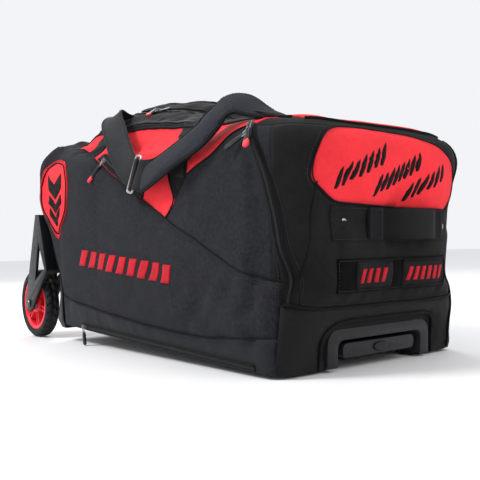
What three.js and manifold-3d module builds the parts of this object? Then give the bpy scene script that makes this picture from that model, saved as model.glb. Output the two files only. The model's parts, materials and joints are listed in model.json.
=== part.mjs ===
// Rolling duffel bag: sewn panels, hinged lid flap, two carry handles, telescopic trolley handle
// and two wheels in A-shaped brackets. Millimetres, +Z up, handle end at +X, front side at -Y.
import * as THREE from 'three';
import { mergeVertices } from 'three/addons/utils/BufferGeometryUtils.js';
import Module from 'manifold-3d';

const wasm = await Module();
wasm.setup();

const DEG = Math.PI / 180;
const GAP = 0.35;

// ---- driving dimensions, in the bag's own level frame -------------------------------------
// The bag is modelled level, with its base at z = 0, then leans by TILT onto wheels and feet.
const TILT = 2.7 * DEG;
const WHEEL_END = 372;
const WHEEL_END_LEAN = 85;
const HANDLE_END = 370;
const HANDLE_END_BASE = 345;
const BASE_HALF = 212;
const TOP_HALF = 219;
const BASE_CORNER = 28;
const WALL_CORNER = 62;
const WALL_TOP = 322;
const CROWN = 385;
const DOME = 84;
const DOME_HALF = 185;
const EDGE_ROUND = 58;
const EDGE_ROUND_WHEEL_END = 95;
const FABRIC = 5;
const BASE_THICK = 10;
const SHOULDER = 352;

const LID = { x0: -262, x1: 205, y0: -80, y1: 150 };
const LID_CORNER = 24;
const BOARD_THICK = 5;
const HOUSING_THICK = 5;

const WHEEL = { x: -472, z: 36, r: 76, rim: 59, y0: 190, y1: 222 };
const PLATE_OUT = { y0: 226, y1: 232 };
const PLATE_IN = { y0: 180, y1: 186 };
const AXLE_R = 5;

const CUP = { x0: 284, x1: 352, half: 120, low: 4, top: 62, wall: 8 };
const TUBE = { y: 70, z: 27 };
const SLEEVE = { w: 28, h: 20, wall: 1.5, x0: -340, x1: 283 };
const STAGE1 = { w: 23, h: 15, wall: 1.2, x0: -330, x1: 286 };
const STAGE2 = { w: 18, h: 10, wall: 1.2, x0: -320, x1: 326 };
const GRIP = { x0: 326, x1: 349, half: 84, z0: 16, z1: 38 };
const BUTTON = { x1: 352, half: 17, rz: 7, depth: 10 };
const FOOT = { x0: 306, x1: 332, y0: 102, y1: 117, h: 5.6 };
const CENTRE = { x: 70.7, y: 5.6 };

const HANDLE_WEB = { w: 50, t: 3 };
const HANDLE_PAD = { w: 70, t: 9 };
const REAR_LEG_X = 190;
const GRAB = { y0: -60, y1: 116, z: 218, w: 44, t: 3, rise: 20 };
const BANDS = { left: -248, right: 100, low: 318 };

const BEARING_R = 11;
const SPOKES = 6;

// Zips on the front side: ends of each run and the slider's place at rest, as [x, z].
const POCKET_ZIP = { a: [-175, 337], b: [262, 152], rest: [-150, 326] };
const END_ZIP = { a: [282, 345], b: [346, 100], rest: [286, 330] };
const BASE_ZIP = { a: [-240, 18], b: [290, 18], rest: [-228, 18] };
const LID_SLIDER = { x: -176, y: -90 };
const CREST = { x: -362, half: 42, top: 318, shoulder: 270, tip: 178 };
const INSET = { half: 140, low: 243, cut: 34, high: 352, bend: 46 };

const clamp01 = (v) => Math.min(Math.max(v, 0), 1);

const ease = (v) => {
  const t = clamp01(v);
  return t * t * (3 - 2 * t);
};

// ---- shape of the filled bag ---------------------------------------------------------------
const wheelEndX = (z) => -(WHEEL_END + WHEEL_END_LEAN * ease((z - 60) / 220));
const handleEndX = (z) => HANDLE_END_BASE + (HANDLE_END - HANDLE_END_BASE) * ease((z - 30) / 90);
const halfWidth = (z) => BASE_HALF + (TOP_HALF - BASE_HALF) * Math.min(z / WALL_TOP, 1);
const cornerRadius = (z) => BASE_CORNER + (WALL_CORNER - BASE_CORNER) * ease(z / 120);

// Height of the top: flat at the ends, domed over the packed main compartment.
function topZ(x, y) {
  const along = ease((x + 345) / 85) * (1 - ease((x + 170) / 440));
  const across = 1 - Math.min(Math.abs(y) / DOME_HALF, 1) ** 3;
  return CROWN + DOME * along * across;
}

// Rounded rectangle seen from above: a closed list of [x, y], counter-clockwise from the
// middle of the handle end.
function outline(x0, x1, half, radius, longSteps = 9, shortSteps = 6, cornerSteps = 4) {
  const points = [];
  const r = Math.min(radius, half - 1);
  const line = (ax, ay, bx, by, steps) => {
    for (let i = 0; i < steps; i++) {
      const t = i / steps;
      points.push([ax + (bx - ax) * t, ay + (by - ay) * t]);
    }
  };
  const arc = (cx, cy, start) => {
    for (let i = 0; i < cornerSteps; i++) {
      const a = start + (Math.PI / 2) * (i / cornerSteps);
      points.push([cx + r * Math.cos(a), cy + r * Math.sin(a)]);
    }
  };
  line(x1, r - half, x1, half - r, shortSteps);
  arc(x1 - r, half - r, 0);
  line(x1 - r, half, x0 + r, half, longSteps);
  arc(x0 + r, half - r, Math.PI / 2);
  line(x0, half - r, x0, r - half, shortSteps);
  arc(x0 + r, r - half, Math.PI);
  line(x0 + r, -half, x1 - r, -half, longSteps);
  arc(x1 - r, r - half, Math.PI * 1.5);
  const middle = shortSteps / 2;
  return points.slice(middle).concat(points.slice(0, middle));
}

// The filled bag as one solid, grown outwards by d (or shrunk, when d is negative).
function bodyRings(d) {
  const rings = [];
  const wallAt = (z, inset) => {
    const x0 = wheelEndX(z) - d + inset;
    const x1 = handleEndX(z) + d - inset;
    return outline(x0, x1, halfWidth(z) + d - inset, cornerRadius(z) + d);
  };
  rings.push(wallAt(0, 6).map(([x, y]) => [x, y, -d]));
  for (const z of [12, 60, 115, 170, 225, 275, WALL_TOP]) {
    rings.push(wallAt(z, 0).map(([x, y]) => [x, y, z]));
  }
  const x0 = wheelEndX(WALL_TOP) - d;
  const x1 = handleEndX(WALL_TOP) + d;
  const half = halfWidth(WALL_TOP) + d;
  for (const deg of [25, 45, 65, 90]) {
    const inset = 1 - Math.cos(deg * DEG);
    const ring = outline(
      x0 + EDGE_ROUND_WHEEL_END * inset,
      x1 - EDGE_ROUND * inset,
      half - EDGE_ROUND * inset,
      WALL_CORNER,
    );
    const rise = Math.sin(deg * DEG);
    rings.push(ring.map(([x, y]) => [x, y, WALL_TOP + (topZ(x, y) + d - WALL_TOP) * rise]));
  }
  const rim = rings[rings.length - 1];
  for (const scale of [0.66, 0.33]) {
    rings.push(rim.map(([x, y]) => [x, y * scale, topZ(x, y * scale) + d]));
  }
  return rings;
}

function loftSolid(rings) {
  const n = rings[0].length;
  const position = rings.flat(2);
  const index = [];
  for (let k = 0; k < rings.length - 1; k++) {
    for (let i = 0; i < n; i++) {
      const a = k * n + i;
      const b = k * n + ((i + 1) % n);
      index.push(a, b, b + n, a, b + n, a + n);
    }
  }
  const cap = (first, flip) => {
    for (let i = 1; i < n - 1; i++) {
      index.push(first, flip ? first + i + 1 : first + i, flip ? first + i : first + i + 1);
    }
  };
  cap(0, true);
  // The last ring is narrow: it closes as a strip between its two long sides.
  const last = (rings.length - 1) * n;
  let low = 0;
  let high = n - 1;
  while (high - low > 1) {
    index.push(last + low, last + low + 1, last + high);
    low += 1;
    if (high - low > 1) {
      index.push(last + low, last + high - 1, last + high);
      high -= 1;
    }
  }
  const geometry = new THREE.BufferGeometry();
  geometry.setAttribute('position', new THREE.Float32BufferAttribute(position, 3));
  geometry.setIndex(index);
  return geometry;
}

// ---- booleans -------------------------------------------------------------------------------
function toSolid(geometry) {
  const bare = geometry.clone();
  bare.deleteAttribute('normal');
  bare.deleteAttribute('uv');
  const merged = mergeVertices(bare, 1e-4);
  return new wasm.Manifold(new wasm.Mesh({
    numProp: 3,
    vertProperties: new Float32Array(merged.attributes.position.array),
    triVerts: new Uint32Array(merged.index.array),
  }));
}

function toGeometry(solid) {
  const mesh = solid.getMesh();
  const geometry = new THREE.BufferGeometry();
  geometry.setAttribute('position', new THREE.Float32BufferAttribute(mesh.vertProperties, 3));
  geometry.setIndex(Array.from(mesh.triVerts));
  geometry.computeVertexNormals();
  return geometry;
}

const bodyCache = new Map();

function bodySolid(d) {
  if (!bodyCache.has(d)) bodyCache.set(d, toSolid(loftSolid(bodyRings(d))));
  return bodyCache.get(d);
}

// Straight prisms over an outline: pairs are [x, y] for up, [x, z] for across, [y, z] for along.
function shapeOf(points) {
  return new THREE.Shape(points.map(([a, b]) => new THREE.Vector2(a, b)));
}

function extrude(shape, depth) {
  return new THREE.ExtrudeGeometry(shape, { depth, bevelEnabled: false, curveSegments: 4 });
}

function prismUp(shape, z0, z1) {
  return toSolid(extrude(shape, z1 - z0).translate(0, 0, z0));
}

function prismAcross(shape, y0, y1) {
  return toSolid(extrude(shape, y1 - y0).rotateX(Math.PI / 2).translate(0, y1, 0));
}

function prismAlong(shape, x0, x1) {
  const turn = new THREE.Matrix4().set(0, 0, 1, x0, 1, 0, 0, 0, 0, 1, 0, 0, 0, 0, 0, 1);
  return toSolid(extrude(shape, x1 - x0).applyMatrix4(turn));
}

function block(x0, x1, y0, y1, z0, z1) {
  const box = new THREE.BoxGeometry(x1 - x0, y1 - y0, z1 - z0);
  return toSolid(box.translate((x0 + x1) / 2, (y0 + y1) / 2, (z0 + z1) / 2));
}

function rect(a0, a1, b0, b1) {
  return shapeOf([[a0, b0], [a1, b0], [a1, b1], [a0, b1]]);
}

function roundRect(a0, a1, b0, b1, r) {
  const shape = new THREE.Shape();
  shape.moveTo(a0 + r, b0);
  shape.lineTo(a1 - r, b0);
  shape.absarc(a1 - r, b0 + r, r, -Math.PI / 2, 0);
  shape.lineTo(a1, b1 - r);
  shape.absarc(a1 - r, b1 - r, r, 0, Math.PI / 2);
  shape.lineTo(a0 + r, b1);
  shape.absarc(a0 + r, b1 - r, r, Math.PI / 2, Math.PI);
  shape.lineTo(a0, b0 + r);
  shape.absarc(a0 + r, b0 + r, r, Math.PI, Math.PI * 1.5);
  return shape;
}

// A layer laid on the bag's surface, between two heights above it, inside a cutting solid.
function layer(cutter, inner, outer) {
  return bodySolid(outer).subtract(bodySolid(inner)).intersect(cutter);
}

// ---- finishes -------------------------------------------------------------------------------
const finish = (color, roughness, metalness = 0) => (
  new THREE.MeshStandardMaterial({ color, roughness, metalness })
);

const FINISH = {
  fabricFront: finish('#33363d', 0.9),
  fabricBlack: finish('#222225', 0.9),
  fabricRed: finish('#e83a3f', 0.85),
  webbing: finish('#3a3d43', 0.8),
  plastic: finish('#1b1b1d', 0.5),
  cupPlastic: finish('#3b3b3f', 0.55),
  hubPlastic: finish('#d8232f', 0.35),
  tyre: finish('#161618', 0.85),
  steel: finish('#c9ccd1', 0.25, 1),
  aluminium: finish('#a9adb3', 0.4, 1),
  hook: finish('#151516', 1),
  board: finish('#4a4640', 0.8),
};

const bag = new THREE.Group();
const part = new THREE.Group();
part.add(bag);

function place(group, name, geometry, material) {
  const mesh = new THREE.Mesh(geometry, material);
  mesh.name = name;
  group.add(mesh);
  return mesh;
}

const add = (name, solid, material) => place(bag, name, toGeometry(solid), material);

// ---- trolley cup: an arch round a recess that is open below and at the end -------------------
function cupOutline(grow) {
  const half = CUP.half + grow;
  const top = CUP.top + grow;
  const low = grow ? -20 : CUP.low;
  const bend = 26;
  const shape = new THREE.Shape();
  shape.moveTo(-half, low);
  shape.lineTo(half, low);
  shape.lineTo(half, top - bend);
  shape.quadraticCurveTo(half, top, half - bend, top);
  shape.lineTo(bend - half, top);
  shape.quadraticCurveTo(-half, top, -half, top - bend);
  return shape;
}

const cupEnvelope = prismAlong(cupOutline(GAP), CUP.x0 - GAP, HANDLE_END + 60);

function tubeHoles(grow, x0, x1) {
  const holes = [-TUBE.y, TUBE.y].map((y) => block(
    x0, x1,
    y - SLEEVE.w / 2 - grow, y + SLEEVE.w / 2 + grow,
    TUBE.z - SLEEVE.h / 2 - grow, TUBE.z + SLEEVE.h / 2 + grow,
  ));
  return holes[0].add(holes[1]);
}

function addCup() {
  const recess = prismAlong(roundRect(-98, 98, -40, 44, 12), CUP.x0 + CUP.wall, CUP.x1 + 1);
  const shell = prismAlong(cupOutline(0), CUP.x0, CUP.x1).subtract(recess);
  add('handle_cup', shell.subtract(tubeHoles(GAP, CUP.x0 - 1, CUP.x0 + 20)), FINISH.cupPlastic);
}

// ---- sewn panels ----------------------------------------------------------------------------
function addPanels() {
  const shell = bodySolid(0).subtract(bodySolid(-FABRIC)).subtract(cupEnvelope);
  const far = 700;
  const reach = 350;
  const handleX = HANDLE_END - WALL_CORNER;
  const wheelX = -(WHEEL_END + WHEEL_END_LEAN * 0.4) + WALL_CORNER;
  const cy = TOP_HALF - WALL_CORNER;
  const wall = (shape) => shell.intersect(prismUp(shape, BASE_THICK + GAP, SHOULDER));
  const frontPlan = shapeOf([
    [wheelX - reach, -cy - reach - GAP], [handleX + reach, -cy - reach - GAP],
    [handleX, -cy - GAP], [wheelX, -cy - GAP],
  ]);
  const backPlan = shapeOf([
    [wheelX, cy + GAP], [handleX, cy + GAP],
    [handleX + reach, cy + reach + GAP], [wheelX - reach, cy + reach + GAP],
  ]);
  const handleEndPlan = shapeOf([
    [handleX + GAP, -cy], [handleX + reach, -cy - reach],
    [handleX + reach, cy + reach], [handleX + GAP, cy],
  ]);
  const wheelEndPlan = shapeOf([
    [wheelX - GAP, cy], [wheelX - reach, cy + reach],
    [wheelX - reach, -cy - reach], [wheelX - GAP, -cy],
  ]);
  add('front_panel', wall(frontPlan), FINISH.fabricFront);
  add('back_panel', wall(backPlan), FINISH.fabricFront);
  add('handle_end_panel', wall(handleEndPlan), FINISH.fabricBlack);
  add('wheel_end_panel', wall(wheelEndPlan), FINISH.fabricBlack);
  const floor = bodySolid(0).intersect(block(-far, far, -far, far, -1, BASE_THICK));
  add('base_panel', floor.subtract(cupEnvelope), FINISH.fabricBlack);
  const top = shell.intersect(block(-far, far, -far, far, SHOULDER + GAP, far));
  const mouth = roundRect(LID.x0 - GAP, LID.x1 + GAP, LID.y0 - GAP, LID.y1 + GAP, LID_CORNER);
  add('top_panel', top.subtract(prismUp(mouth, WALL_TOP, far)), FINISH.fabricRed);
  const lid = roundRect(LID.x0, LID.x1, LID.y0, LID.y1, LID_CORNER);
  add('lid_flap', shell.intersect(prismUp(lid, WALL_TOP, far)), FINISH.fabricBlack);
  const z = BASE_THICK + GAP;
  add('base_board', block(-330, 276, -150, 150, z, z + BOARD_THICK), FINISH.board);
}

// ---- layers sewn onto the panels ------------------------------------------------------------
// A straight strip of the front or back side, given by its centre line in [x, z] and its width.
function stripShape([ax, az], [bx, bz], width) {
  const length = Math.hypot(bx - ax, bz - az);
  const nx = (-(bz - az) / length) * (width / 2);
  const nz = ((bx - ax) / length) * (width / 2);
  return shapeOf([[ax - nx, az - nz], [bx - nx, bz - nz], [bx + nx, bz + nz], [ax + nx, az + nz]]);
}

function addLayers() {
  const near = (shape) => prismAcross(shape, -400, -90);
  const atEnd = (shape) => prismAlong(shape, 200, 500);
  const trim = (name, cutter, thick, material) => add(name, layer(cutter, GAP, thick), material);
  trim('pocket_zip_track', near(stripShape(POCKET_ZIP.a, POCKET_ZIP.b, 14)), 1.6, FINISH.hook);
  trim('end_zip_track', near(stripShape(END_ZIP.a, END_ZIP.b, 22)), 1.6, FINISH.hook);
  trim('base_zip_track', near(stripShape(BASE_ZIP.a, BASE_ZIP.b, 12)), 1.6, FINISH.hook);
  trim('lid_zip_track', prismUp(rect(-235, 190, -97, -83), 360, 600), 1.6, FINISH.hook);
  trim('side_crest_patch', near(crestShape()), 1.8, FINISH.fabricRed);
  trim('end_inset_panel', atEnd(insetShape()), 1.6, FINISH.fabricRed);
  trim('hook_strip', atEnd(rect(-133, 133, 118, 166)), 1.8, FINISH.hook);
  for (const [name, y0, y1] of [['patch_front', -98, -8], ['patch_back', 8, 126]]) {
    add(name, layer(atEnd(roundRect(y0, y1, 124, 160, 3)), 1.8 + GAP, 4), FINISH.fabricBlack);
  }
  for (const [name, x, y0, y1] of [
    ['front_band_left', BANDS.left, -400, -152],
    ['front_band_right', BANDS.right, -400, -100],
    ['rear_band_left', -REAR_LEG_X, 170, 400],
    ['rear_band_right', REAR_LEG_X, 170, 400],
  ]) {
    trim(name, block(x - 24, x + 24, y0, y1, BANDS.low, 600), 2, FINISH.webbing);
  }
}

function crestShape() {
  const { x, half, top, shoulder, tip } = CREST;
  const shape = new THREE.Shape();
  shape.moveTo(x - half, shoulder);
  shape.quadraticCurveTo(x - half, top, x, top + 6);
  shape.quadraticCurveTo(x + half, top, x + half, shoulder);
  shape.quadraticCurveTo(x + half, tip + 50, x, tip);
  shape.quadraticCurveTo(x - half, tip + 50, x - half, shoulder);
  return shape;
}

function insetShape() {
  const { half, low, cut, high, bend } = INSET;
  const shape = new THREE.Shape();
  shape.moveTo(-half + cut, low);
  shape.lineTo(half - cut, low);
  shape.lineTo(half, low + cut);
  shape.lineTo(half, high - bend);
  shape.quadraticCurveTo(half, high, half - bend, high);
  shape.lineTo(bend - half, high);
  shape.quadraticCurveTo(-half, high, -half, high - bend);
  shape.lineTo(-half, low + cut);
  shape.closePath();
  return shape;
}

// ---- wheel end ------------------------------------------------------------------------------
function sidePrism(shape, side, y0, y1) {
  return side < 0 ? prismAcross(shape, -y1, -y0) : prismAcross(shape, y0, y1);
}

function disc(x, z, r, segments = 24) {
  const shape = new THREE.Shape();
  for (let i = 0; i < segments; i++) {
    const a = (2 * Math.PI * i) / segments;
    const [px, pz] = [x + r * Math.cos(a), z + r * Math.sin(a)];
    if (i === 0) shape.moveTo(px, pz);
    else shape.lineTo(px, pz);
  }
  shape.closePath();
  return shape;
}

function addHousing() {
  const side = shapeOf([[-560, -20], [-324, -20], [-331, 69], [-358, 125], [-400, 205], [-560, 205]]);
  const guard = layer(prismAcross(side, -400, 400), GAP, HOUSING_THICK);
  add('wheel_housing', guard, FINISH.plastic);
}

// The A-shaped bracket: an outer and an inner plate joined by the apex and the sloping wall.
function addBracket(name, side) {
  const { x, z } = WHEEL;
  const plate = shapeOf([
    [x + 34, 236], [x + 53, 236], [x + 94, 116], [x + 16, z - 12],
    [x, z - 19], [x - 14, z - 12], [x - 18, z + 2],
  ].reverse());
  const window = shapeOf([[x + 49, 176], [x + 33, 90], [x + 82, 118]].reverse());
  const wall = shapeOf([[x + 43, 236], [x + 53, 236], [x + 94, 116], [x + 86, 108]].reverse());
  const apex = shapeOf([[x + 34, 236], [x + 53, 236], [x + 63, 206], [x + 28, 206]].reverse());
  const solid = sidePrism(plate, side, PLATE_OUT.y0, PLATE_OUT.y1)
    .add(sidePrism(plate, side, PLATE_IN.y0, PLATE_IN.y1))
    .subtract(sidePrism(window, side, PLATE_IN.y0 - 1, PLATE_OUT.y1 + 1))
    .add(sidePrism(wall, side, PLATE_IN.y0, PLATE_OUT.y1))
    .add(sidePrism(apex, side, PLATE_IN.y0, PLATE_OUT.y1))
    .subtract(sidePrism(disc(x, z, AXLE_R + GAP), side, PLATE_IN.y0 - 1, PLATE_OUT.y1 + 1))
    .subtract(bodySolid(HOUSING_THICK + GAP));
  add(name, solid, FINISH.plastic);
}

// Turns an [r, y] profile about the wheel's axis, which runs along Y.
function turned(profile, side, segments) {
  const points = profile.map(([r, y]) => new THREE.Vector2(r, y * side));
  if (side < 0) points.reverse();
  const lathe = new THREE.LatheGeometry(points, segments);
  return toSolid(lathe.translate(WHEEL.x, 0, WHEEL.z));
}

function addWheel(word, side) {
  const { x, z, r, rim, y0, y1 } = WHEEL;
  const bore = AXLE_R + GAP;
  add(`tyre_${word}`, turned([
    [rim + GAP, y0 + 3], [r - 8, y0], [r - 2, y0 + 5], [r, y0 + 11],
    [r, y1 - 11], [r - 2, y1 - 5], [r - 8, y1], [rim + GAP, y1 - 3], [rim + GAP, y0 + 3],
  ], side, 36), FINISH.tyre);
  const hub = disc(x, z, rim, 36);
  hub.holes.push(disc(x, z, BEARING_R + GAP));
  for (let i = 0; i < SPOKES; i++) hub.holes.push(spokeWindow(x, z, i));
  add(`hub_${word}`, sidePrism(hub, side, y0 + 4, y1 - 4), FINISH.hubPlastic);
  add(`bearing_${word}`, turned([
    [bore, y0 + 2], [BEARING_R, y0 + 2], [BEARING_R, y1 - 2], [bore, y1 - 2], [bore, y0 + 2],
  ], side, 24), FINISH.steel);
  const head = PLATE_OUT.y1 + GAP;
  add(`axle_${word}`, turned([
    [0, PLATE_IN.y0 - 3], [AXLE_R, PLATE_IN.y0 - 3], [AXLE_R, head], [9, head],
    [9, head + 2], [6, head + 5], [0, head + 6],
  ], side, 24), FINISH.steel);
}

function spokeWindow(x, z, i) {
  const pitch = (2 * Math.PI) / SPOKES;
  const start = i * pitch + 0.16;
  const end = (i + 1) * pitch - 0.16;
  const path = new THREE.Path();
  path.absarc(x, z, 49, start, end, false);
  path.absarc(x, z, 21, end - 0.14, start + 0.14, true);
  path.closePath();
  return path;
}

// ---- trolley --------------------------------------------------------------------------------
function tube(y, w, h, wall) {
  const shape = roundRect(y - w / 2, y + w / 2, TUBE.z - h / 2, TUBE.z + h / 2, 3);
  if (wall) {
    const iw = w / 2 - wall;
    const ih = h / 2 - wall;
    shape.holes.push(roundRect(y - iw, y + iw, TUBE.z - ih, TUBE.z + ih, 2));
  }
  return shape;
}

function addTrolley() {
  for (const [word, y] of [['front', -TUBE.y], ['back', TUBE.y]]) {
    const pipe = (stage) => prismAlong(tube(y, stage.w, stage.h, stage.wall), stage.x0, stage.x1);
    add(`trolley_sleeve_${word}`, pipe(SLEEVE), FINISH.aluminium);
    add(`trolley_middle_tube_${word}`, pipe(STAGE1), FINISH.aluminium);
    add(`trolley_inner_tube_${word}`, pipe(STAGE2), FINISH.aluminium);
  }
  const { x0, x1, half, z0, z1 } = GRIP;
  const middle = (z0 + z1) / 2;
  const pocket = ovalShape(BUTTON.half + GAP, BUTTON.rz + GAP, middle);
  const bar = prismAlong(roundRect(-half, half, z0, z1, 8), x0 + GAP, x1);
  add('trolley_grip', bar.subtract(prismAlong(pocket, x1 - BUTTON.depth, x1 + 1)), FINISH.plastic);
  const button = ovalShape(BUTTON.half, BUTTON.rz, middle);
  add('release_button', prismAlong(button, x1 - BUTTON.depth + 4, BUTTON.x1), FINISH.cupPlastic);
}

function ovalShape(a, b, z) {
  const shape = new THREE.Shape();
  shape.absellipse(0, z, a, b, 0, 2 * Math.PI);
  return shape;
}

// ---- straps and handles ---------------------------------------------------------------------
const vec = (p) => new THREE.Vector3(...p);

// A flat strap: stations give a centre and the direction of the strap's width.
function strap(stations, width, thick) {
  const centres = stations.map(({ at }) => vec(at));
  const rings = centres.map((c, i) => {
    const next = centres[Math.min(i + 1, centres.length - 1)];
    const last = centres[Math.max(i - 1, 0)];
    const along = next.clone().sub(last).normalize();
    const across = vec(stations[i].across);
    across.addScaledVector(along, -across.dot(along)).normalize().multiplyScalar(width / 2);
    const normal = along.clone().cross(across).normalize().multiplyScalar(thick / 2);
    return [[1, 1], [-1, 1], [-1, -1], [1, -1]].map(([a, b]) => (
      c.clone().addScaledVector(across, a).addScaledVector(normal, b).toArray()
    ));
  });
  const solid = toSolid(loftSolid(rings));
  return solid.volume() < 0 ? toSolid(loftSolid(rings.slice().reverse())) : solid;
}

function addFrontHandle() {
  add('front_handle_web', strap([
    { at: [-215, -152, 434], across: [1, 0, 0.05] },
    { at: [-208, -166, 434], across: [0.9, 0.3, 0.4] },
    { at: [-174, -183, 415], across: [0.78, 0.4, 0.52] },
    { at: [-122, -203, 385], across: [0.75, 0.42, 0.5] },
    { at: [-76, -219, 353], across: [0.65, 0.4, 0.6] },
    { at: [-26, -234, 321], across: [0.4, 0.3, 0.85] },
    { at: [-10, -237, 312], across: [0.2, 0.2, 0.95] },
  ], HANDLE_WEB.w, HANDLE_WEB.t), FINISH.webbing);
  add('front_handle_ring', ringSolid(), FINISH.steel);
  add('front_handle_pad', strap([
    { at: [36, -237, 297], across: [0.2, 0.2, 0.94] },
    { at: [72, -235, 303], across: [-0.1, 0.25, 0.93] },
    { at: [134, -231, 329], across: [-0.45, 0.3, 0.78] },
    { at: [187, -224, 354], across: [-0.5, 0.32, 0.76] },
    { at: [226, -209, 383], across: [-0.48, 0.38, 0.74] },
    { at: [240, -190, 403], across: [-0.2, 0.7, 0.55] },
    { at: [266, -170, 398], across: [0.1, 0.95, 0.2] },
    { at: [296, -164, 393], across: [0, 1, 0] },
  ], HANDLE_PAD.w, HANDLE_PAD.t), FINISH.webbing);
}

function ringSolid() {
  const outer = roundRect(-37, 37, -9, 9, 3);
  outer.holes.push(roundRect(-33, 33, -5, 5, 1));
  const across = vec([0.2, 0.2, 0.95]).normalize();
  const along = vec([1, 0, 0]).addScaledVector(across, -across.x).normalize();
  const normal = across.clone().cross(along);
  const basis = new THREE.Matrix4().makeBasis(across, along, normal);
  basis.setPosition(7, -238, 302);
  return toSolid(extrude(outer, 4).translate(0, 0, -2).applyMatrix4(basis));
}

function addRearHandle() {
  const y = TOP_HALF + 9;
  const leg = (side) => strap([
    { at: [side * REAR_LEG_X, y, 338], across: [1, 0, 0] },
    { at: [side * REAR_LEG_X, y, 290], across: [1, 0, 0] },
    { at: [side * (REAR_LEG_X - 14), y, 246], across: [0.85, 0, side * 0.5] },
    { at: [side * (REAR_LEG_X - 40), y, 216], across: [0.5, 0, side * 0.85] },
    { at: [side * (REAR_LEG_X - 66), y, 204], across: [0, 0, 1] },
    { at: [side * (REAR_LEG_X - 86), y, 204], across: [0, 0, 1] },
  ], HANDLE_WEB.w, HANDLE_WEB.t);
  add('rear_handle_leg_left', leg(-1), FINISH.webbing);
  add('rear_handle_leg_right', leg(1), FINISH.webbing);
  const grip = REAR_LEG_X - 86 - GAP;
  add('rear_handle_pad', strap([
    { at: [-grip, y, 204], across: [0, 0, 1] },
    { at: [grip, y, 204], across: [0, 0, 1] },
  ], HANDLE_PAD.w, HANDLE_PAD.t), FINISH.webbing);
}

// Webbing grab handle on the handle end: flat tabs at both ends and a raised middle.
function addGrabHandle() {
  const x = HANDLE_END + 0.4;
  const { y0, y1, z, w, t, rise } = GRAB;
  const profile = [
    [y0, 0], [y0 + 24, 0], [y0 + 34, 5], [y0 + 52, rise - 3], [(y0 + y1) / 2, rise],
    [y1 - 40, rise - 3], [y1 - 22, 5], [y1 - 12, 0], [y1, 0],
  ];
  const outer = profile.map(([y, h]) => [y, x + h + t]);
  const inner = profile.map(([y, h]) => [y, x + h]).reverse();
  const shape = shapeOf([...outer, ...inner].map(([y, px]) => [px, y]));
  add('grab_handle', prismUp(shape, z - w / 2, z + w / 2), FINISH.webbing);
  for (const [word, ry, rz] of [['front', -110, 220], ['back', 124, 214]]) {
    const stud = disc(ry, rz, 5.5, 16);
    add(`frame_rivet_${word}`, prismAlong(stud, x, x + 2.5), FINISH.steel);
  }
}

// ---- zip sliders and pulls ------------------------------------------------------------------
// Local frame of a slider: x along the zip, z away from the bag, origin on the zip's surface.
function zipFrame({ at, along, out }) {
  const z = vec(out).normalize();
  const x = vec(along);
  x.addScaledVector(z, -x.dot(z)).normalize();
  return new THREE.Matrix4().makeBasis(x, z.clone().cross(x), z).setPosition(...at);
}

function addSlider(name, spec) {
  const body = toSolid(extrude(roundRect(-7, 7, -5, 5, 2.5), 4)
    .translate(0, 0, GAP).applyMatrix4(zipFrame(spec)));
  add(`${name}_slider`, body, FINISH.steel);
  const tab = roundRect(9, 9 + spec.pull, -4.5, 4.5, 4);
  const frame = zipFrame({ at: spec.at, along: spec.hang, out: spec.out });
  const pull = toSolid(extrude(tab, 2.6).translate(0, 0, 1.2).applyMatrix4(frame));
  add(`${name}_pull`, pull, FINISH.hook);
}

function frontPoint(x, z, lift) {
  return [x, -halfWidth(z) - lift, z];
}

function addSliders() {
  const slope = Math.atan2(TOP_HALF - BASE_HALF, WALL_TOP);
  const out = [0, -Math.cos(slope), -Math.sin(slope)];
  const track = 1.6;
  const [px, pz] = POCKET_ZIP.rest;
  const [ex, ez] = END_ZIP.rest;
  const [bx, bz] = BASE_ZIP.rest;
  const along = ([ax, az], [cx, cz]) => [cx - ax, 0, cz - az];
  addSlider('pocket', {
    at: frontPoint(px, pz, track), along: along(POCKET_ZIP.a, POCKET_ZIP.b), out,
    hang: [-0.25, 0, -1], pull: 36,
  });
  addSlider('end_zip', {
    at: frontPoint(ex, ez, track), along: along(END_ZIP.a, END_ZIP.b), out,
    hang: [-0.2, 0, -1], pull: 44,
  });
  addSlider('base_zip', {
    at: frontPoint(bx, bz, track), along: [1, 0, 0], out, hang: [0, 0, -1], pull: 34,
  });
  const { x, y } = LID_SLIDER;
  addSlider('lid', {
    at: [x, y, topZ(x, y) + track + 1], along: [1, 0, 0], out: [0, -0.35, 1],
    hang: [-0.1, -1, -0.35], pull: 44,
  });
}

addPanels();
addLayers();
addCup();
addHousing();
for (const [word, side] of [['front', -1], ['back', 1]]) {
  addBracket(`wheel_bracket_${word}`, side);
  addWheel(word, side);
}
addTrolley();
addFrontHandle();
addRearHandle();
addGrabHandle();
addSliders();

// ---- stance: lean the bag, stand it on the ground and centre it --------------------------------
const axleHeight = -WHEEL.x * Math.sin(TILT) + WHEEL.z * Math.cos(TILT);
const LIFT = WHEEL.r - axleHeight;
bag.rotation.y = TILT;
bag.position.set(CENTRE.x, CENTRE.y, LIFT);

for (const [word, side] of [['front', -1], ['back', 1]]) {
  const foot = block(
    CENTRE.x + FOOT.x0, CENTRE.x + FOOT.x1,
    CENTRE.y + Math.min(side * FOOT.y0, side * FOOT.y1),
    CENTRE.y + Math.max(side * FOOT.y0, side * FOOT.y1),
    0, FOOT.h,
  );
  place(part, `rest_foot_${word}`, toGeometry(foot), FINISH.tyre);
}

export default part;
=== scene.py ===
"""Rolling duffel bag: the looks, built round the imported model. Shapes are laid out in the bag's
own level frame, in millimetres, and BAG carries them onto the leaning bag, in metres."""
import json
import math
from contextlib import contextmanager

import bmesh
import bpy
from mathutils import Matrix, Vector, noise
from mathutils.bvhtree import BVHTree
from mathutils.geometry import delaunay_2d_cdt

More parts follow.
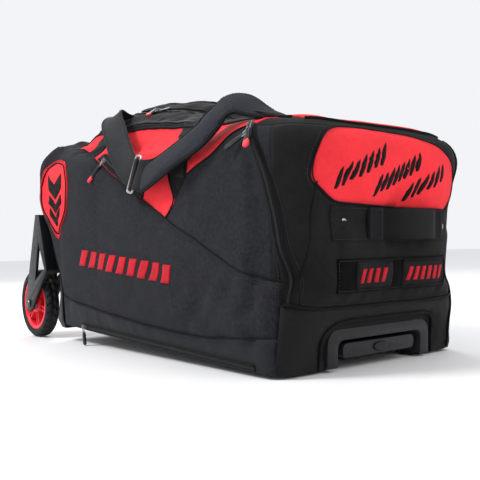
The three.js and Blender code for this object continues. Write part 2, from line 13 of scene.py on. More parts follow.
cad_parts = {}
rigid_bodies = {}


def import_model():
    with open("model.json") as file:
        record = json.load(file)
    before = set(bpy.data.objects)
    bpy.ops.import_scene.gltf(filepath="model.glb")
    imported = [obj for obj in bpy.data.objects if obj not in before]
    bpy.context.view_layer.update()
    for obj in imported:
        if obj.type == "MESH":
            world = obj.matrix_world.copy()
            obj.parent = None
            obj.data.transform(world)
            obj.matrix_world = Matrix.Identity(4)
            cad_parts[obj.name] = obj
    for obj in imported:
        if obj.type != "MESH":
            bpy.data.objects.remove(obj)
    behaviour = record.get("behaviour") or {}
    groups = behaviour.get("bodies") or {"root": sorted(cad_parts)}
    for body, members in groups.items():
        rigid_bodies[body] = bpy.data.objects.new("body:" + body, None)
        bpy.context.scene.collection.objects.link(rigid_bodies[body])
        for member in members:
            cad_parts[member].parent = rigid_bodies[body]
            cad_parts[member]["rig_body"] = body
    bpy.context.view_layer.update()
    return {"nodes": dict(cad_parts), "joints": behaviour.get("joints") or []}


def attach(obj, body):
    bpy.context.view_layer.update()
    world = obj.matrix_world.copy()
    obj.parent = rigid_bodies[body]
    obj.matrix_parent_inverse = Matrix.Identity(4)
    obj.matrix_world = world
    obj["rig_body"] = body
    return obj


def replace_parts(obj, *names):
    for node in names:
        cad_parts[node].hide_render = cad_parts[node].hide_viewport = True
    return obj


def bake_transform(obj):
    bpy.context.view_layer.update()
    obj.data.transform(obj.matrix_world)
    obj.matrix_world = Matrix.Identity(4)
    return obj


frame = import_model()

MM = 0.001
JOINTS = {joint["name"]: joint for joint in frame["joints"]}

# ---- shape of the filled bag, as in the model: millimetres, +X handle end, -Y front -----------
TILT = math.radians(2.7)
AXLE = (-472, 36)
WALL_TOP = 322
EDGE_T = 100
EDGE_ROUND = 58
EDGE_ROUND_WHEEL = 95
LID = (-262, 205, -80, 150)
TURN = Matrix.Rotation(TILT, 4, "Y")
axle_now = Vector(JOINTS["wheel_front_spin"]["pos_m"])
offset = axle_now - TURN @ (Vector((AXLE[0], -206, AXLE[1])) * MM)
BAG = Matrix.Translation(offset) @ TURN @ Matrix.Scale(MM, 4)


def ease(v):
    t = min(max(v, 0), 1)
    return t * t * (3 - 2 * t)


def lerp(a, b, t):
    return a + (b - a) * t


def wheel_x(z):
    return -(372 + 85 * ease((z - 60) / 220))


def handle_x(z):
    return 345 + 25 * ease((z - 30) / 90)


def half_width(z):
    return 212 + 7 * min(z / WALL_TOP, 1)


def corner(z):
    return 28 + 34 * ease(z / 120)


def top_z(x, y):
    along = ease((x + 345) / 85) * (1 - ease((x + 170) / 440))
    return 385 + 84 * along * (1 - min(abs(y) / 185, 1) ** 3)


def surface(side, a, t):
    """A point of the plain bag. t is the height up to WALL_TOP, then goes over the rounded edge."""
    if side == "top":
        return Vector((a, t, top_z(a, t)))
    if side == "base":
        return Vector((a, t, 0))
    turn = math.radians(90) * min(max(t - WALL_TOP, 0) / EDGE_T, 1)
    rise, inset = math.sin(turn), 1 - math.cos(turn)
    flat = max(t - WALL_TOP - EDGE_T, 0)
    z = min(t, WALL_TOP)
    if side in ("front", "back"):
        y = half_width(z) - EDGE_ROUND * inset - flat
        x = a
        y = -y if side == "front" else y
    elif side == "end":
        x, y = handle_x(z) - EDGE_ROUND * inset - flat, a
    else:
        x, y = wheel_x(z) + EDGE_ROUND_WHEEL * inset + flat, a
    if rise > 0:
        z = WALL_TOP + (top_z(x, y) - WALL_TOP) * rise
    return Vector((x, y, z))


# ---- mesh helpers ------------------------------------------------------------------------------
@contextmanager
def edited(mesh):
    bm = bmesh.new()
    bm.from_mesh(mesh)
    yield bm
    bm.to_mesh(mesh)
    bm.free()


def put(name, mesh, material):
    """A smooth-shaded object of one material in the scene."""
    mesh.materials.clear()
    mesh.materials.append(material[0])
    for polygon in mesh.polygons:
        polygon.use_smooth = True
        polygon.material_index = 0
    piece = bpy.data.objects.new(name, mesh)
    bpy.context.scene.collection.objects.link(piece)
    return piece


def make(name, verts, faces, material, uvs=None, matrix=BAG):
    mesh = bpy.data.meshes.new(name)
    mesh.from_pydata([tuple(v) for v in verts], [], faces)
    if uvs:
        layer = mesh.uv_layers.new(name="UVMap")
        for loop in mesh.loops:
            layer.data[loop.index].uv = uvs[loop.vertex_index]
    mesh.transform(matrix)
    return put(name, mesh, material)


def fix_normals(piece):
    with edited(piece.data) as bm:
        bmesh.ops.recalc_face_normals(bm, faces=bm.faces)
    return piece


def modify(piece, kind, **values):
    modifier = piece.modifiers.new(kind.lower(), kind)
    for key, value in values.items():
        setattr(modifier, key, value)
    return modifier


def apply_all(piece):
    depsgraph = bpy.context.evaluated_depsgraph_get()
    mesh = bpy.data.meshes.new_from_object(piece.evaluated_get(depsgraph))
    piece.modifiers.clear()
    piece.data = mesh
    return piece


def add_piece(name, shape, material, body, matrix=BAG):
    """A closed piece from (verts, faces) or (verts, faces, uvs), riding on a body."""
    piece = make(name, shape[0], shape[1], material, *shape[2:], matrix=matrix)
    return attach(fix_normals(piece), body)


def bevelled(name, shape, material, body, width, segments, matrix=BAG, **values):
    """The same, with its edges rounded."""
    piece = fix_normals(make(name, *shape, material, matrix=matrix))
    modify(piece, "BEVEL", width=width * MM, segments=segments, limit_method="ANGLE", **values)
    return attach(apply_all(piece), body)


def join(parts):
    """Several (verts, faces) as one."""
    verts, faces = [], []
    for part_verts, part_faces in parts:
        start = len(verts)
        verts += part_verts
        faces += [tuple(i + start for i in face) for face in part_faces]
    return verts, faces


def loft_faces(rows, ring, closed=False):
    """Quads between rows of ring points each, with a cap at both ends unless the rows close up."""
    faces = []
    for i in range(rows if closed else rows - 1):
        near, far = i * ring, (i + 1) % rows * ring
        for k in range(ring):
            after = (k + 1) % ring
            faces.append((near + k, near + after, far + after, far + k))
    if not closed:
        faces.append(tuple(reversed(range(ring))))
        faces.append(tuple(range((rows - 1) * ring, rows * ring)))
    return faces


def spline(points, step=5.0, closed=False):
    """A smooth curve through the points, with a point about every step."""
    points = [Vector(p) for p in points]
    n = len(points)
    out = []
    for i in range(n if closed else n - 1):
        def at(k):
            return points[k % n] if closed else points[min(max(k, 0), n - 1)]
        p0, p1, p2, p3 = at(i - 1), at(i), at(i + 1), at(i + 2)
        count = max(int((p2 - p1).length / step), 1)
        for j in range(count):
            t = j / count
            a = 2 * p1 + (p2 - p0) * t
            b = (2 * p0 - 5 * p1 + 4 * p2 - p3) * t * t
            c = (3 * p1 - p0 - 3 * p2 + p3) * t * t * t
            out.append((a + b + c) / 2)
    if not closed:
        out.append(points[-1])
    return out


def line(points, step=5.0):
    """The same, with straight runs between the points."""
    out = []
    for a, b in zip(points, points[1:]):
        a, b = Vector(a), Vector(b)
        count = max(int((b - a).length / step), 1)
        out += [a.lerp(b, j / count) for j in range(count)]
    return out + [Vector(points[-1])]


def tube(path, radius, sides=8, closed=False):
    """A round rod along a path of 3-D points."""
    n = len(path)
    verts = []
    normal = None
    for i, p in enumerate(path):
        ahead = path[(i + 1) % n] if closed else path[min(i + 1, n - 1)]
        behind = path[i - 1] if closed else path[max(i - 1, 0)]
        along = (ahead - behind).normalized()
        if normal is None:
            normal = along.orthogonal().normalized()
        normal = (normal - along * normal.dot(along)).normalized()
        other = along.cross(normal)
        for k in range(sides):
            angle = math.tau * k / sides
            verts.append(p + (normal * math.cos(angle) + other * math.sin(angle)) * radius)
    return verts, loft_faces(n, sides, closed)


# ---- materials --------------------------------------------------------------------------------
class Shader:
    """A short way to write a material's nodes."""

    def __init__(self, name):
        self.material = bpy.data.materials.new(name)
        self.material.use_nodes = True
        self.tree = self.material.node_tree
        self.bsdf = self.tree.nodes["Principled BSDF"]
        self.coords = self.tree.nodes.new("ShaderNodeTexCoord")

    def node(self, kind, inputs=(), **settings):
        node = self.tree.nodes.new(kind)
        for key, value in settings.items():
            setattr(node, key, value)
        for key, value in dict(inputs).items():
            if isinstance(value, bpy.types.NodeSocket):
                self.tree.links.new(value, node.inputs[key])
            else:
                node.inputs[key].default_value = value
        return node

    def math(self, operation, a, b=0.0):
        return self.node("ShaderNodeMath", {0: a, 1: b}, operation=operation).outputs[0]

    def noise(self, scale, detail=2.0, rough=0.5, vector=None):
        source = vector or self.coords.outputs["Object"]
        inputs = {"Vector": source, "Scale": scale, "Detail": detail, "Roughness": rough}
        return self.node("ShaderNodeTexNoise", inputs).outputs["Fac"]

    def remap(self, value, low, high, to_low, to_high):
        inputs = {"Value": value, "From Min": low, "From Max": high, "To Min": to_low, "To Max": to_high}
        return self.node("ShaderNodeMapRange", inputs).outputs[0]

    def mix(self, factor, a, b):
        node = self.node("ShaderNodeMix", {0: factor, 6: a, 7: b}, data_type="RGBA")
        return node.outputs[2]

    def link(self, socket, value):
        self.tree.links.new(value, self.bsdf.inputs[socket])

    def bump(self, height, strength, distance):
        inputs = {"Height": height, "Strength": strength, "Distance": distance}
        self.link("Normal", self.node("ShaderNodeBump", inputs).outputs[0])


def rgba(color, gain=1.0):
    return (color[0] * gain, color[1] * gain, color[2] * gain, 1)


def fabric(name, slot, color, plane="wall", pitch=1.7, rough=0.82, sheen=0.03, contrast=0.55):
    """Plain weave: crossing threads in the panel's own plane, with heather and soft wear."""
    shader = Shader(name)
    split = shader.node("ShaderNodeSeparateXYZ", {0: shader.coords.outputs["Object"]}).outputs
    if plane == "wall":
        u, v = shader.math("ADD", split[0], split[1]), split[2]
    else:
        u, v = split[0], split[1]
    turn = math.tau / (pitch * MM)
    warp = shader.math("SINE", shader.math("MULTIPLY", u, turn))
    weft = shader.math("SINE", shader.math("MULTIPLY", v, turn))
    weave = shader.remap(shader.math("MULTIPLY", warp, weft), -1, 1, 0, 1)
    heather = shader.noise(170, 5.0, 0.8)
    cloud = shader.noise(9, 3.0, 0.55)
    tone = shader.math("ADD", shader.math("MULTIPLY", weave, 0.45), shader.math("MULTIPLY", heather, 0.55))
    dark, light = rgba(color, 1 - contrast), rgba(color, 1 + contrast)
    base = shader.mix(shader.remap(tone, 0.42, 0.58, 0, 1), dark, light)
    worn = shader.mix(shader.remap(cloud, 0.35, 0.75, 0, 0.5), base, rgba(color, 1.5))
    shader.link("Base Color", worn)
    shader.link("Roughness", shader.remap(cloud, 0.3, 0.7, rough - 0.06, rough + 0.06))
    shader.bsdf.inputs["Sheen Weight"].default_value = sheen
    shader.bsdf.inputs["Sheen Roughness"].default_value = 0.45
    shader.bsdf.inputs["Specular IOR Level"].default_value = 0.1
    shader.bump(shader.math("ADD", weave, shader.math("MULTIPLY", heather, 0.9)), 0.7, 0.0007)
    return shader.material, slot


def webbing(name, slot, color, rib=1.9, rough=0.75):
    """Woven tape: herringbone ribs across the strap, from its own coordinates in millimetres."""
    shader = Shader(name)
    split = shader.node("ShaderNodeSeparateXYZ", {0: shader.coords.outputs["UV"]}).outputs
    turn = math.tau / rib
    zigzag = shader.math("PINGPONG", split[0], rib * 2)
    ribs = shader.math("SINE", shader.math("MULTIPLY", shader.math("ADD", split[1], zigzag), turn))
    fine = shader.math("SINE", shader.math("MULTIPLY", split[0], turn * 1.3))
    height = shader.remap(shader.math("ADD", ribs, fine), -2, 2, 0, 1)
    cloud = shader.noise(30, 3.0, 0.6)
    base = shader.mix(height, rgba(color, 0.6), rgba(color, 1.35))
    shader.link("Base Color", shader.mix(shader.remap(cloud, 0.4, 0.8, 0, 0.4), base, rgba(color, 1.5)))
    shader.link("Roughness", shader.remap(cloud, 0.3, 0.7, rough - 0.08, rough + 0.08))
    shader.bsdf.inputs["Sheen Weight"].default_value = 0.04
    shader.bsdf.inputs["Specular IOR Level"].default_value = 0.12
    shader.bump(height, 0.6, 0.0006)
    return shader.material, slot


def plastic(name, slot, color, rough=0.4, grain=900, depth=0.0002, coat=0.0):
    """Moulded plastic or rubber: fine spark-eroded grain, with scuffs that change its gloss."""
    shader = Shader(name)
    cloud = shader.noise(25, 4.0, 0.6)
    scuff = shader.noise(140, 3.0, 0.7)
    fine = shader.noise(grain, 1.0)
    base = shader.mix(shader.remap(cloud, 0.35, 0.75, 0, 0.5), rgba(color), rgba(color, 1.5))
    shader.link("Base Color", shader.mix(shader.remap(scuff, 0.62, 0.8, 0, 0.4), base, rgba(color, 2.0)))
    shader.link("Roughness", shader.remap(scuff, 0.3, 0.75, rough - 0.07, rough + 0.13))
    shader.bsdf.inputs["Coat Weight"].default_value = coat
    shader.bsdf.inputs["Specular IOR Level"].default_value = 0.28
    shader.bump(fine, 0.4, depth)
    return shader.material, slot


def metal(name, slot, color, rough=0.22, brushed=False):
    """Plated or drawn metal, with fine draw lines or polish marks."""
    shader = Shader(name)
    stretch = (2, 60, 60) if brushed else (20, 20, 20)
    inputs = {0: shader.coords.outputs["Object"], 3: stretch}
    vector = shader.node("ShaderNodeMapping", inputs).outputs[0]
    marks = shader.noise(30, 4.0, 0.6, vector)
    shader.link("Base Color", shader.mix(marks, rgba(color, 0.85), rgba(color, 1.05)))
    shader.link("Roughness", shader.remap(marks, 0.3, 0.7, rough - 0.06, rough + 0.1))
    shader.bsdf.inputs["Metallic"].default_value = 1.0
    shader.bump(marks, 0.15, 0.0001)
    return shader.material, slot


def pile(name, slot, color):
    """Loop tape: a dense fuzzy pile."""
    shader = Shader(name)
    inputs = {"Vector": shader.coords.outputs["Object"], "Scale": 900}
    cells = shader.node("ShaderNodeTexVoronoi", inputs).outputs["Distance"]
    shader.link("Base Color", shader.mix(cells, rgba(color, 1.6), rgba(color, 0.5)))
    shader.bsdf.inputs["Roughness"].default_value = 1.0
    shader.bsdf.inputs["Sheen Weight"].default_value = 0.03
    shader.bsdf.inputs["Specular IOR Level"].default_value = 0.05
    shader.bump(shader.math("ADD", cells, shader.noise(300)), 0.8, 0.001)
    return shader.material, slot


FRONT_GREY = (0.0140, 0.0145, 0.0183)
BLACK = (0.0085, 0.0080, 0.0085)
RED = (0.80, 0.031, 0.042)
GREY_WALL = fabric("fabric_grey", "fabric_grey", FRONT_GREY, contrast=0.95)
BLACK_WALL = fabric("fabric_black", "fabric_black", BLACK)
BLACK_TOP = fabric("fabric_black_top", "fabric_black", BLACK, "top")
BASE_GREY = (0.0112, 0.0121, 0.0156)
BASE_CLOTH = fabric("fabric_base", "fabric_black", BASE_GREY, pitch=2.4, rough=0.6, sheen=0.04)
BASE_BLACK = fabric("fabric_base_end", "fabric_black", (0.0078, 0.0074, 0.0080), pitch=2.4, rough=0.6)
RED_WALL = fabric("fabric_red", "fabric_red", RED, contrast=0.14)
RED_TOP = fabric("fabric_red_top", "fabric_red", RED, "top", contrast=0.14)
PAD_CLOTH = fabric("pad_cloth", "webbing", (0.0180, 0.0205, 0.0258), "top", pitch=1.6)
EMBROIDERY = fabric("embroidery", "fabric_red", (0.50, 0.008, 0.02), pitch=1.1, rough=0.55, contrast=0.3)
DARK_PRINT = fabric("dark_print", "fabric_black", (0.0045, 0.0045, 0.005), pitch=1.1)
PIPING = fabric("piping", "fabric_black", (0.0035, 0.0035, 0.004), pitch=1.2, rough=0.7)
THREAD = plastic("thread", "webbing", (0.022, 0.023, 0.027), rough=0.7)
WEB = webbing("webbing", "webbing", (0.0120, 0.0125, 0.0145))
BLACK_WEB = webbing("webbing_black", "webbing", (0.0048, 0.0048, 0.0055))
TAPE = webbing("zip_tape", "zip_tape", (0.0055, 0.0055, 0.0065), rib=0.9)
COIL = plastic("zip_coil", "zip_tape", (0.006, 0.006, 0.007), rough=0.35)
PILE = pile("loop_pile", "hook_tape", (0.0022, 0.0022, 0.0026))
PLASTIC = plastic("black_plastic", "black_plastic", (0.0070, 0.0078, 0.0090), rough=0.38)
CUP_PLASTIC = plastic("cup_plastic", "cup_plastic", (0.0105, 0.0105, 0.0120), rough=0.45)
GRIP_RUBBER = plastic("grip_rubber", "black_plastic", (0.0130, 0.0130, 0.0150), rough=0.42)
TYRE = plastic("tyre_rubber", "tyre", (0.0065, 0.0065, 0.0075), rough=0.68, grain=400, depth=0.0005)
HUB = plastic("hub_plastic", "hub_red", (0.62, 0.016, 0.028), rough=0.33)
PULL = plastic("pull_rubber", "pull_plastic", (0.006, 0.006, 0.007), rough=0.4)
PULL_TIP = plastic("pull_tip", "fabric_red", (0.72, 0.03, 0.045), rough=0.4)
STEEL = metal("nickel_plate", "steel", (0.42, 0.41, 0.42), rough=0.3)
DARK_STEEL = metal("gunmetal", "steel", (0.13, 0.13, 0.14), rough=0.34)
ALLOY = metal("drawn_alloy", "aluminium", (0.60, 0.61, 0.63), rough=0.32, brushed=True)
BOARD = plastic("board", "stiffener", (0.09, 0.08, 0.07), rough=0.8)
FOOT = plastic("foot_rubber", "foot_rubber", (0.015, 0.015, 0.015), rough=0.8)


# ---- camera, light, floor ------------------------------------------------------------------------
FITTED_LEAN = 2.0722
LENS = 52.95675


def add_camera():
    """The photograph's view, fitted in a frame with its own small lean, then carried to BAG's."""
    yaw, pitch, roll = math.radians(51.0), math.radians(-0.42), math.radians(-1.08)
    place = Vector((1074.6, -865.5, 175.8))
    level_way = Vector((-math.sin(yaw), math.cos(yaw), 0)) * math.cos(pitch)
    forward = level_way - Vector((0, 0, math.sin(pitch)))
    right = forward.cross(Vector((0, 0, 1))).normalized()
    up = right.cross(forward)
    level = right * math.cos(roll) + up * math.sin(roll)
    above = up * math.cos(roll) - right * math.sin(roll)
    unlean = Matrix.Rotation(-math.radians(FITTED_LEAN), 4, "Y")
    axes = Matrix((level, above, -forward)).transposed().to_4x4()
    whole = BAG @ unlean @ Matrix.Translation(place) @ axes
    camera = bpy.data.objects.new("camera", bpy.data.cameras.new("camera"))
    bpy.context.scene.collection.objects.link(camera)
    camera.matrix_world = Matrix.Translation(whole.translation) @ whole.to_3x3().normalized().to_4x4()
    camera.data.sensor_width = 36
    camera.data.lens = LENS
    camera.data.clip_end = 50
    bpy.context.scene.camera = camera


def add_light(name, place, size, power, color):
    light = bpy.data.lights.new(name, "AREA")
    light.size = size
    light.energy = power
    light.color = color
    lamp = bpy.data.objects.new(name, light)
    bpy.context.scene.collection.objects.link(lamp)
    lamp.location = place
    lamp.rotation_euler = (Vector((0, 0, 0.2)) - Vector(place)).to_track_quat("-Z", "Y").to_euler()


def add_studio():
    shader = Shader("floor")
    cloud = shader.noise(1.5, 2.0)
    shader.link("Base Color", shader.mix(cloud, (0.80, 0.80, 0.80, 1), (0.84, 0.84, 0.84, 1)))
    shader.bsdf.inputs["Roughness"].default_value = 0.7
    size = 30.0
    corners = [(-size, -size, 0), (size, -size, 0), (size, size, 0), (-size, size, 0)]
    floor = make("floor", corners, [(0, 1, 2, 3)], (shader.material, "fabric_black"), matrix=Matrix())
    floor.location.z = -0.0005
    world = bpy.data.worlds.new("world")
    world.use_nodes = True
    world.node_tree.nodes["Background"].inputs[0].default_value = (0.96, 0.97, 1.0, 1)
    world.node_tree.nodes["Background"].inputs[1].default_value = 0.93
    bpy.context.scene.world = world
    bpy.context.scene.view_settings.view_transform = "Standard"
    add_light("key", (-0.9, -2.6, 2.9), 1.1, 115, (1, 1, 1))
    add_light("end_fill", (2.6, 0.6, 2.0), 1.6, 22, (1.0, 0.98, 0.96))
    add_light("rim", (-2.4, 1.4, 2.2), 1.5, 40, (0.96, 0.98, 1.0))


# ---- the soft body ---------------------------------------------------------------------------------
LONG, SHORT, STEPS = 62, 35, 8
BASE_RINGS = 8
TOP_RINGS = 39


def outline(x0, x1, half, radius):
    """A rounded rectangle, with as many points on every ring of the body."""
    r = min(radius, half - 1)
    points = []

    def run(ax, ay, bx, by, count):
        for i in range(count):
            points.append((lerp(ax, bx, i / count), lerp(ay, by, i / count)))

    def arc(cx, cy, start):
        for i in range(STEPS):
            angle = math.radians(start + 90 * i / STEPS)
            points.append((cx + r * math.cos(angle), cy + r * math.sin(angle)))

    run(x1, r - half, x1, half - r, SHORT)
    arc(x1 - r, half - r, 0)
    run(x1 - r, half, x0 + r, half, LONG)
    arc(x0 + r, half - r, 90)
    run(x0, half - r, x0, r - half, SHORT)
    arc(x0 + r, r - half, 180)
    run(x0 + r, -half, x1 - r, -half, LONG)
    arc(x1 - r, r - half, 270)
    return points


def body_rings():
    rings = []
    base = outline(wheel_x(0) + 6, handle_x(0) - 6, half_width(0) - 6, 28)
    for scale in (0.0, 0.25, 0.5, 0.75, 0.95):
        rings.append([Vector((x, y * scale, 0)) for x, y in base])
    rings.append([Vector((x, y, 0.6)) for x, y in base])
    heights = [3, 8, 16] + [16 + (WALL_TOP - 16) * i / 26 for i in range(1, 27)]
    for z in heights:
        ring = outline(wheel_x(z), handle_x(z), half_width(z), corner(z))
        rings.append([Vector((x, y, z)) for x, y in ring])
    for i in range(1, 13):
        turn = math.radians(90) * i / 12
        inset, rise = 1 - math.cos(turn), math.sin(turn)
        ring = outline(
            wheel_x(WALL_TOP) + EDGE_ROUND_WHEEL * inset,
            handle_x(WALL_TOP) - EDGE_ROUND * inset,
            half_width(WALL_TOP) - EDGE_ROUND * inset,
            corner(WALL_TOP),
        )
        rings.append([Vector((x, y, WALL_TOP + (top_z(x, y) - WALL_TOP) * rise)) for x, y in ring])
    rim = rings[-1]
    for i in range(1, 15):
        scale = 1 - i / 14
        rings.append([Vector((p.x, p.y * scale, top_z(p.x, p.y * scale))) for p in rim])
    return rings


def panel_at(ring, column):
    """Which of PANELS a face of the loft belongs to, by its ring and its place round the bag."""
    if ring < BASE_RINGS:
        return 4
    if ring >= TOP_RINGS:
        return 5
    end = SHORT + STEPS // 2
    back = end + STEPS + LONG
    wheel = back + STEPS + SHORT
    if column < end or column >= 2 * (SHORT + LONG) + 3 * STEPS + 2:
        return 2
    if column < back:
        return 1
    return 3 if column < wheel else 0


def seam_hold(p):
    """1 on the seams that keep their line, 0 in the middle of a panel."""
    hold = 1 - ease((p.z - 14) / 26)
    for centre, reach in ((-168, 14), (168, 14), (-80, 16), (150, 14)):
        if p.z > 380 and abs(p.y - centre) < reach:
            hold = max(hold, 1 - abs(p.y - centre) / reach)
    guard = 1 - ease((p.x + 330) / 30)
    hold = max(hold, guard * (1 - ease((p.z - 195) / 40)))
    near_end = 1 - min(abs(p.x - 318) / 16, 1)
    if abs(p.y) > 195:
        hold = max(hold, near_end)
    if p.x > 300:
        hold = max(hold, 1 - ease((p.z - 96) / 20))
        hold = max(hold, (1 - min(abs(p.z - 228) / 26, 1)) * 0.8)
    return min(hold, 1)


def soft_body():
    """The filled bag as one soft skin, with a material index for each of PANELS."""
    rings = body_rings()
    n = len(rings[0])
    mesh = bpy.data.meshes.new("soft_body")
    mesh.from_pydata([p for ring in rings for p in ring], [], loft_faces(len(rings), n)[:-2])
    for _ in PANELS:
        mesh.materials.append(GREY_WALL[0])
    panels = [panel_at(k, i) for k in range(len(rings) - 1) for i in range(n)]
    mesh.polygons.foreach_set("material_index", panels)
    with edited(mesh) as bm:
        bmesh.ops.remove_doubles(bm, verts=bm.verts, dist=0.3)
        bmesh.ops.dissolve_degenerate(bm, edges=bm.edges, dist=0.2)
        bmesh.ops.recalc_face_normals(bm, faces=bm.faces)
    body = bpy.data.objects.new("soft_body", mesh)
    bpy.context.scene.collection.objects.link(body)
    plain = [v.co.copy() for v in mesh.vertices]
    normals = [v.normal.copy() for v in mesh.vertices]
    holds = [seam_hold(p) for p in plain]
    moved = settle(body, holds)
    for vertex, start, normal, hold, move in zip(mesh.vertices, plain, normals, holds, moved):
        calm = ease((start.x - 180) / 90) * ease((start.z - 290) / 60)
        vertex.co = start + normal * wrinkle(start, hold, calm) + move * (1 - 0.85 * calm) + packed(start)
    smooth = modify(body, "SUBSURF", levels=1, render_levels=1)
    smooth.subdivision_type = "CATMULL_CLARK"
    return apply_all(body)


def wrinkle(p, hold, calm):
    """How far the cloth stands off its plain shape: a slow wave, slanting folds and sharp creases."""
    loose = ease((p.x - 90) / 90) * ease((190 - p.z) / 70) * ease((-p.y - 150) / 40)
    free = (1 - hold) * (1 - 0.92 * calm)
    slow = noise.noise(p * 0.0075 + Vector((3, 1, 7)))
    fold = noise.noise(Vector((p.x * 0.012 + p.z * 0.02, p.y * 0.012, p.z * 0.008)))
    crease = abs(noise.noise(Vector((p.x * 0.02 - p.z * 0.012, p.y * 0.02, p.z * 0.024))))
    swell = 3.0 * (1 - hold) + free * (6.0 * slow + 5.0 * fold - 4.5 * crease)
    return swell + free * loose * (9.0 * fold - 8.0 * crease)


def packed(p):
    """Where the load pushes the walls out, and where the top sinks between its ends."""
    corner_share = ease((p.x - 150) / 160) * ease((p.y - 60) / 140)
    depth = lerp(4, 10, ease(p.z / 80)) + 11 * ease((p.z - 60) / 120) * (1 - ease((p.z - 250) / 80))
    push = Vector((-0.63, -0.78, 0)) * corner_share * depth
    rise = 10 * ease((-335 - p.x) / 40) * ease((p.z - 320) / 55) * (1 - ease((p.y - 60) / 120) * 0.5)
    sink = 20 * ease((p.x + 255) / 120) * (1 - 0.45 * ease(p.x / 220)) * ease((p.z - 335) / 50)
    sink += 13 * ease((p.x + 355) / 50) * (1 - ease((p.x + 255) / 120)) * ease((p.z - 335) / 50)
    bulge = 20 * ease((-330 - p.x) / 40) * ease(p.z / 50) * (1 - ease((p.z - 110) / 90))
    crown = 5 * ease((p.x - 190) / 60) * ease((p.z - 395) / 30)
    return push + Vector((-bulge, 0, rise - sink + crown))


def cloth_moves(piece, frames, cap, **settings):
    """Runs cloth in metres with pressure inside, and gives each point's move in millimetres.
    No point moves more than cap, and the piece itself is left as it was."""
    start = [v.co.copy() for v in piece.data.vertices]
    piece.data.transform(Matrix.Scale(MM, 4))
    cloth = modify(piece, "CLOTH")
    cloth.settings.use_pressure = True
    cloth.settings.effector_weights.gravity = 0
    for key, value in settings.items():
        setattr(cloth.settings, key, value)
    cloth.collision_settings.use_collision = False
    for step in range(1, frames + 1):
        bpy.context.scene.frame_set(step)
    depsgraph = bpy.context.evaluated_depsgraph_get()
    result = [v.co / MM for v in piece.evaluated_get(depsgraph).data.vertices]
    piece.modifiers.clear()
    bpy.context.scene.frame_set(1)
    moves = []
    for vertex, old, new in zip(piece.data.vertices, start, result):
        move = new - old
        moves.append(move.normalized() * cap if move.length > cap else move)
        vertex.co = old
    return moves


def settle(body, holds):
    """The cut panels are a little larger than the bag, so the filling pushes them out between
    the seams and the spare cloth wrinkles."""
    pins = body.vertex_groups.new(name="pins")
    for index, hold in enumerate(holds):
        if hold > 0.02:
            pins.add([index], hold, "REPLACE")
    moves = cloth_moves(
        body, 21, 8.0, quality=6, mass=0.25, tension_stiffness=18, compression_stiffness=18,
        shear_stiffness=6, bending_stiffness=0.6, air_damping=2, uniform_pressure_force=2.5,
        shrink_min=-0.03, vertex_group_mass="pins", pin_stiffness=2,
    )
    body.vertex_groups.clear()
    return moves


BODY = {"tree": None, "verts": [], "faces": []}
SEARCH = 70.0
PAD_EDGE = 22


def grow_body(verts, faces):
    """Adds a layer to the surface that later pieces are laid on."""
    start = len(BODY["verts"])
    BODY["verts"] += [Vector(v) for v in verts]
    BODY["faces"] += [tuple(i + start for i in face) for face in faces]
    BODY["tree"] = None


def body_tree():
    if BODY["tree"] is None:
        BODY["tree"] = BVHTree.FromPolygons(BODY["verts"], BODY["faces"])
    return BODY["tree"]


def on_body(side, a, t, lift=0.0):
    """The place and outward normal of the real, settled fabric at a point of the plain bag."""
    near = 1.5
    place = surface(side, a, t)
    across = surface(side, a + near, t) - surface(side, a - near, t)
    along = surface(side, a, t + near) - surface(side, a, t - near)
    normal = across.cross(along).normalized()
    outward = {"front": (0, -1, 0), "back": (0, 1, 0), "end": (1, 0, 0), "wheel": (-1, 0, 0)}.get(side)
    reference = Vector(outward) if outward and t <= WALL_TOP else Vector((0, 0, -1 if side == "base" else 1))
    if normal.dot(reference) < 0:
        normal = -normal
    hit, found, _, _ = body_tree().ray_cast(place + normal * SEARCH, -normal)
    if hit is None:
        return place + normal * lift, normal
    if found.dot(normal) < 0:
        found = -found
    mixed = (found + normal * 0.4).normalized()
    return hit + mixed * lift, mixed


# ---- pieces laid on the fabric ------------------------------------------------------------------
def curve2(points, step=5.0):
    return [(p.x, p.y) for p in spline([(a, b, 0) for a, b in points], step)]


def line2(points, step=5.0):
    return [(p.x, p.y) for p in line([(a, b, 0) for a, b in points], step)]


def inside(point, polygon):
    x, y = point
    odd = False
    j = len(polygon) - 1
    for i, (xi, yi) in enumerate(polygon):
        xj, yj = polygon[j]
        if (yi > y) != (yj > y) and x < (xj - xi) * (y - yi) / (yj - yi) + xi:
            odd = not odd
        j = i
    return odd


def fill(polygon, grid):
    """Triangles that fill a 2-D outline, with inner points on a grid so that they can bend."""
    clean = [polygon[0]]
    for point in polygon[1:]:
        if math.dist(point, clean[-1]) > 0.4:
            clean.append(point)
    if math.dist(clean[0], clean[-1]) < 0.4:
        clean.pop()
    points = [Vector(p) for p in clean]
    edges = [(i, (i + 1) % len(clean)) for i in range(len(clean))]
    low_a, high_a = min(p[0] for p in clean), max(p[0] for p in clean)
    low_b, high_b = min(p[1] for p in clean), max(p[1] for p in clean)
    rows = int((high_b - low_b) / grid)
    for j in range(1, rows + 1):
        b = low_b + j * grid
        columns = int((high_a - low_a) / grid)
        for i in range(1, columns + 1):
            a = low_a + (i + 0.5 * (j % 2)) * grid
            if inside((a, b), clean) and min(math.dist((a, b), p) for p in clean) > grid * 0.55:
                points.append(Vector((a, b)))
    made = delaunay_2d_cdt(points, edges, [tuple(range(len(clean)))], 1, 1e-4)
    return [tuple(v) for v in made[0]], [tuple(f) for f in made[2]]


def looped(path):
    """A closed outline, with its first point repeated at the end."""
    return path + [path[0]]


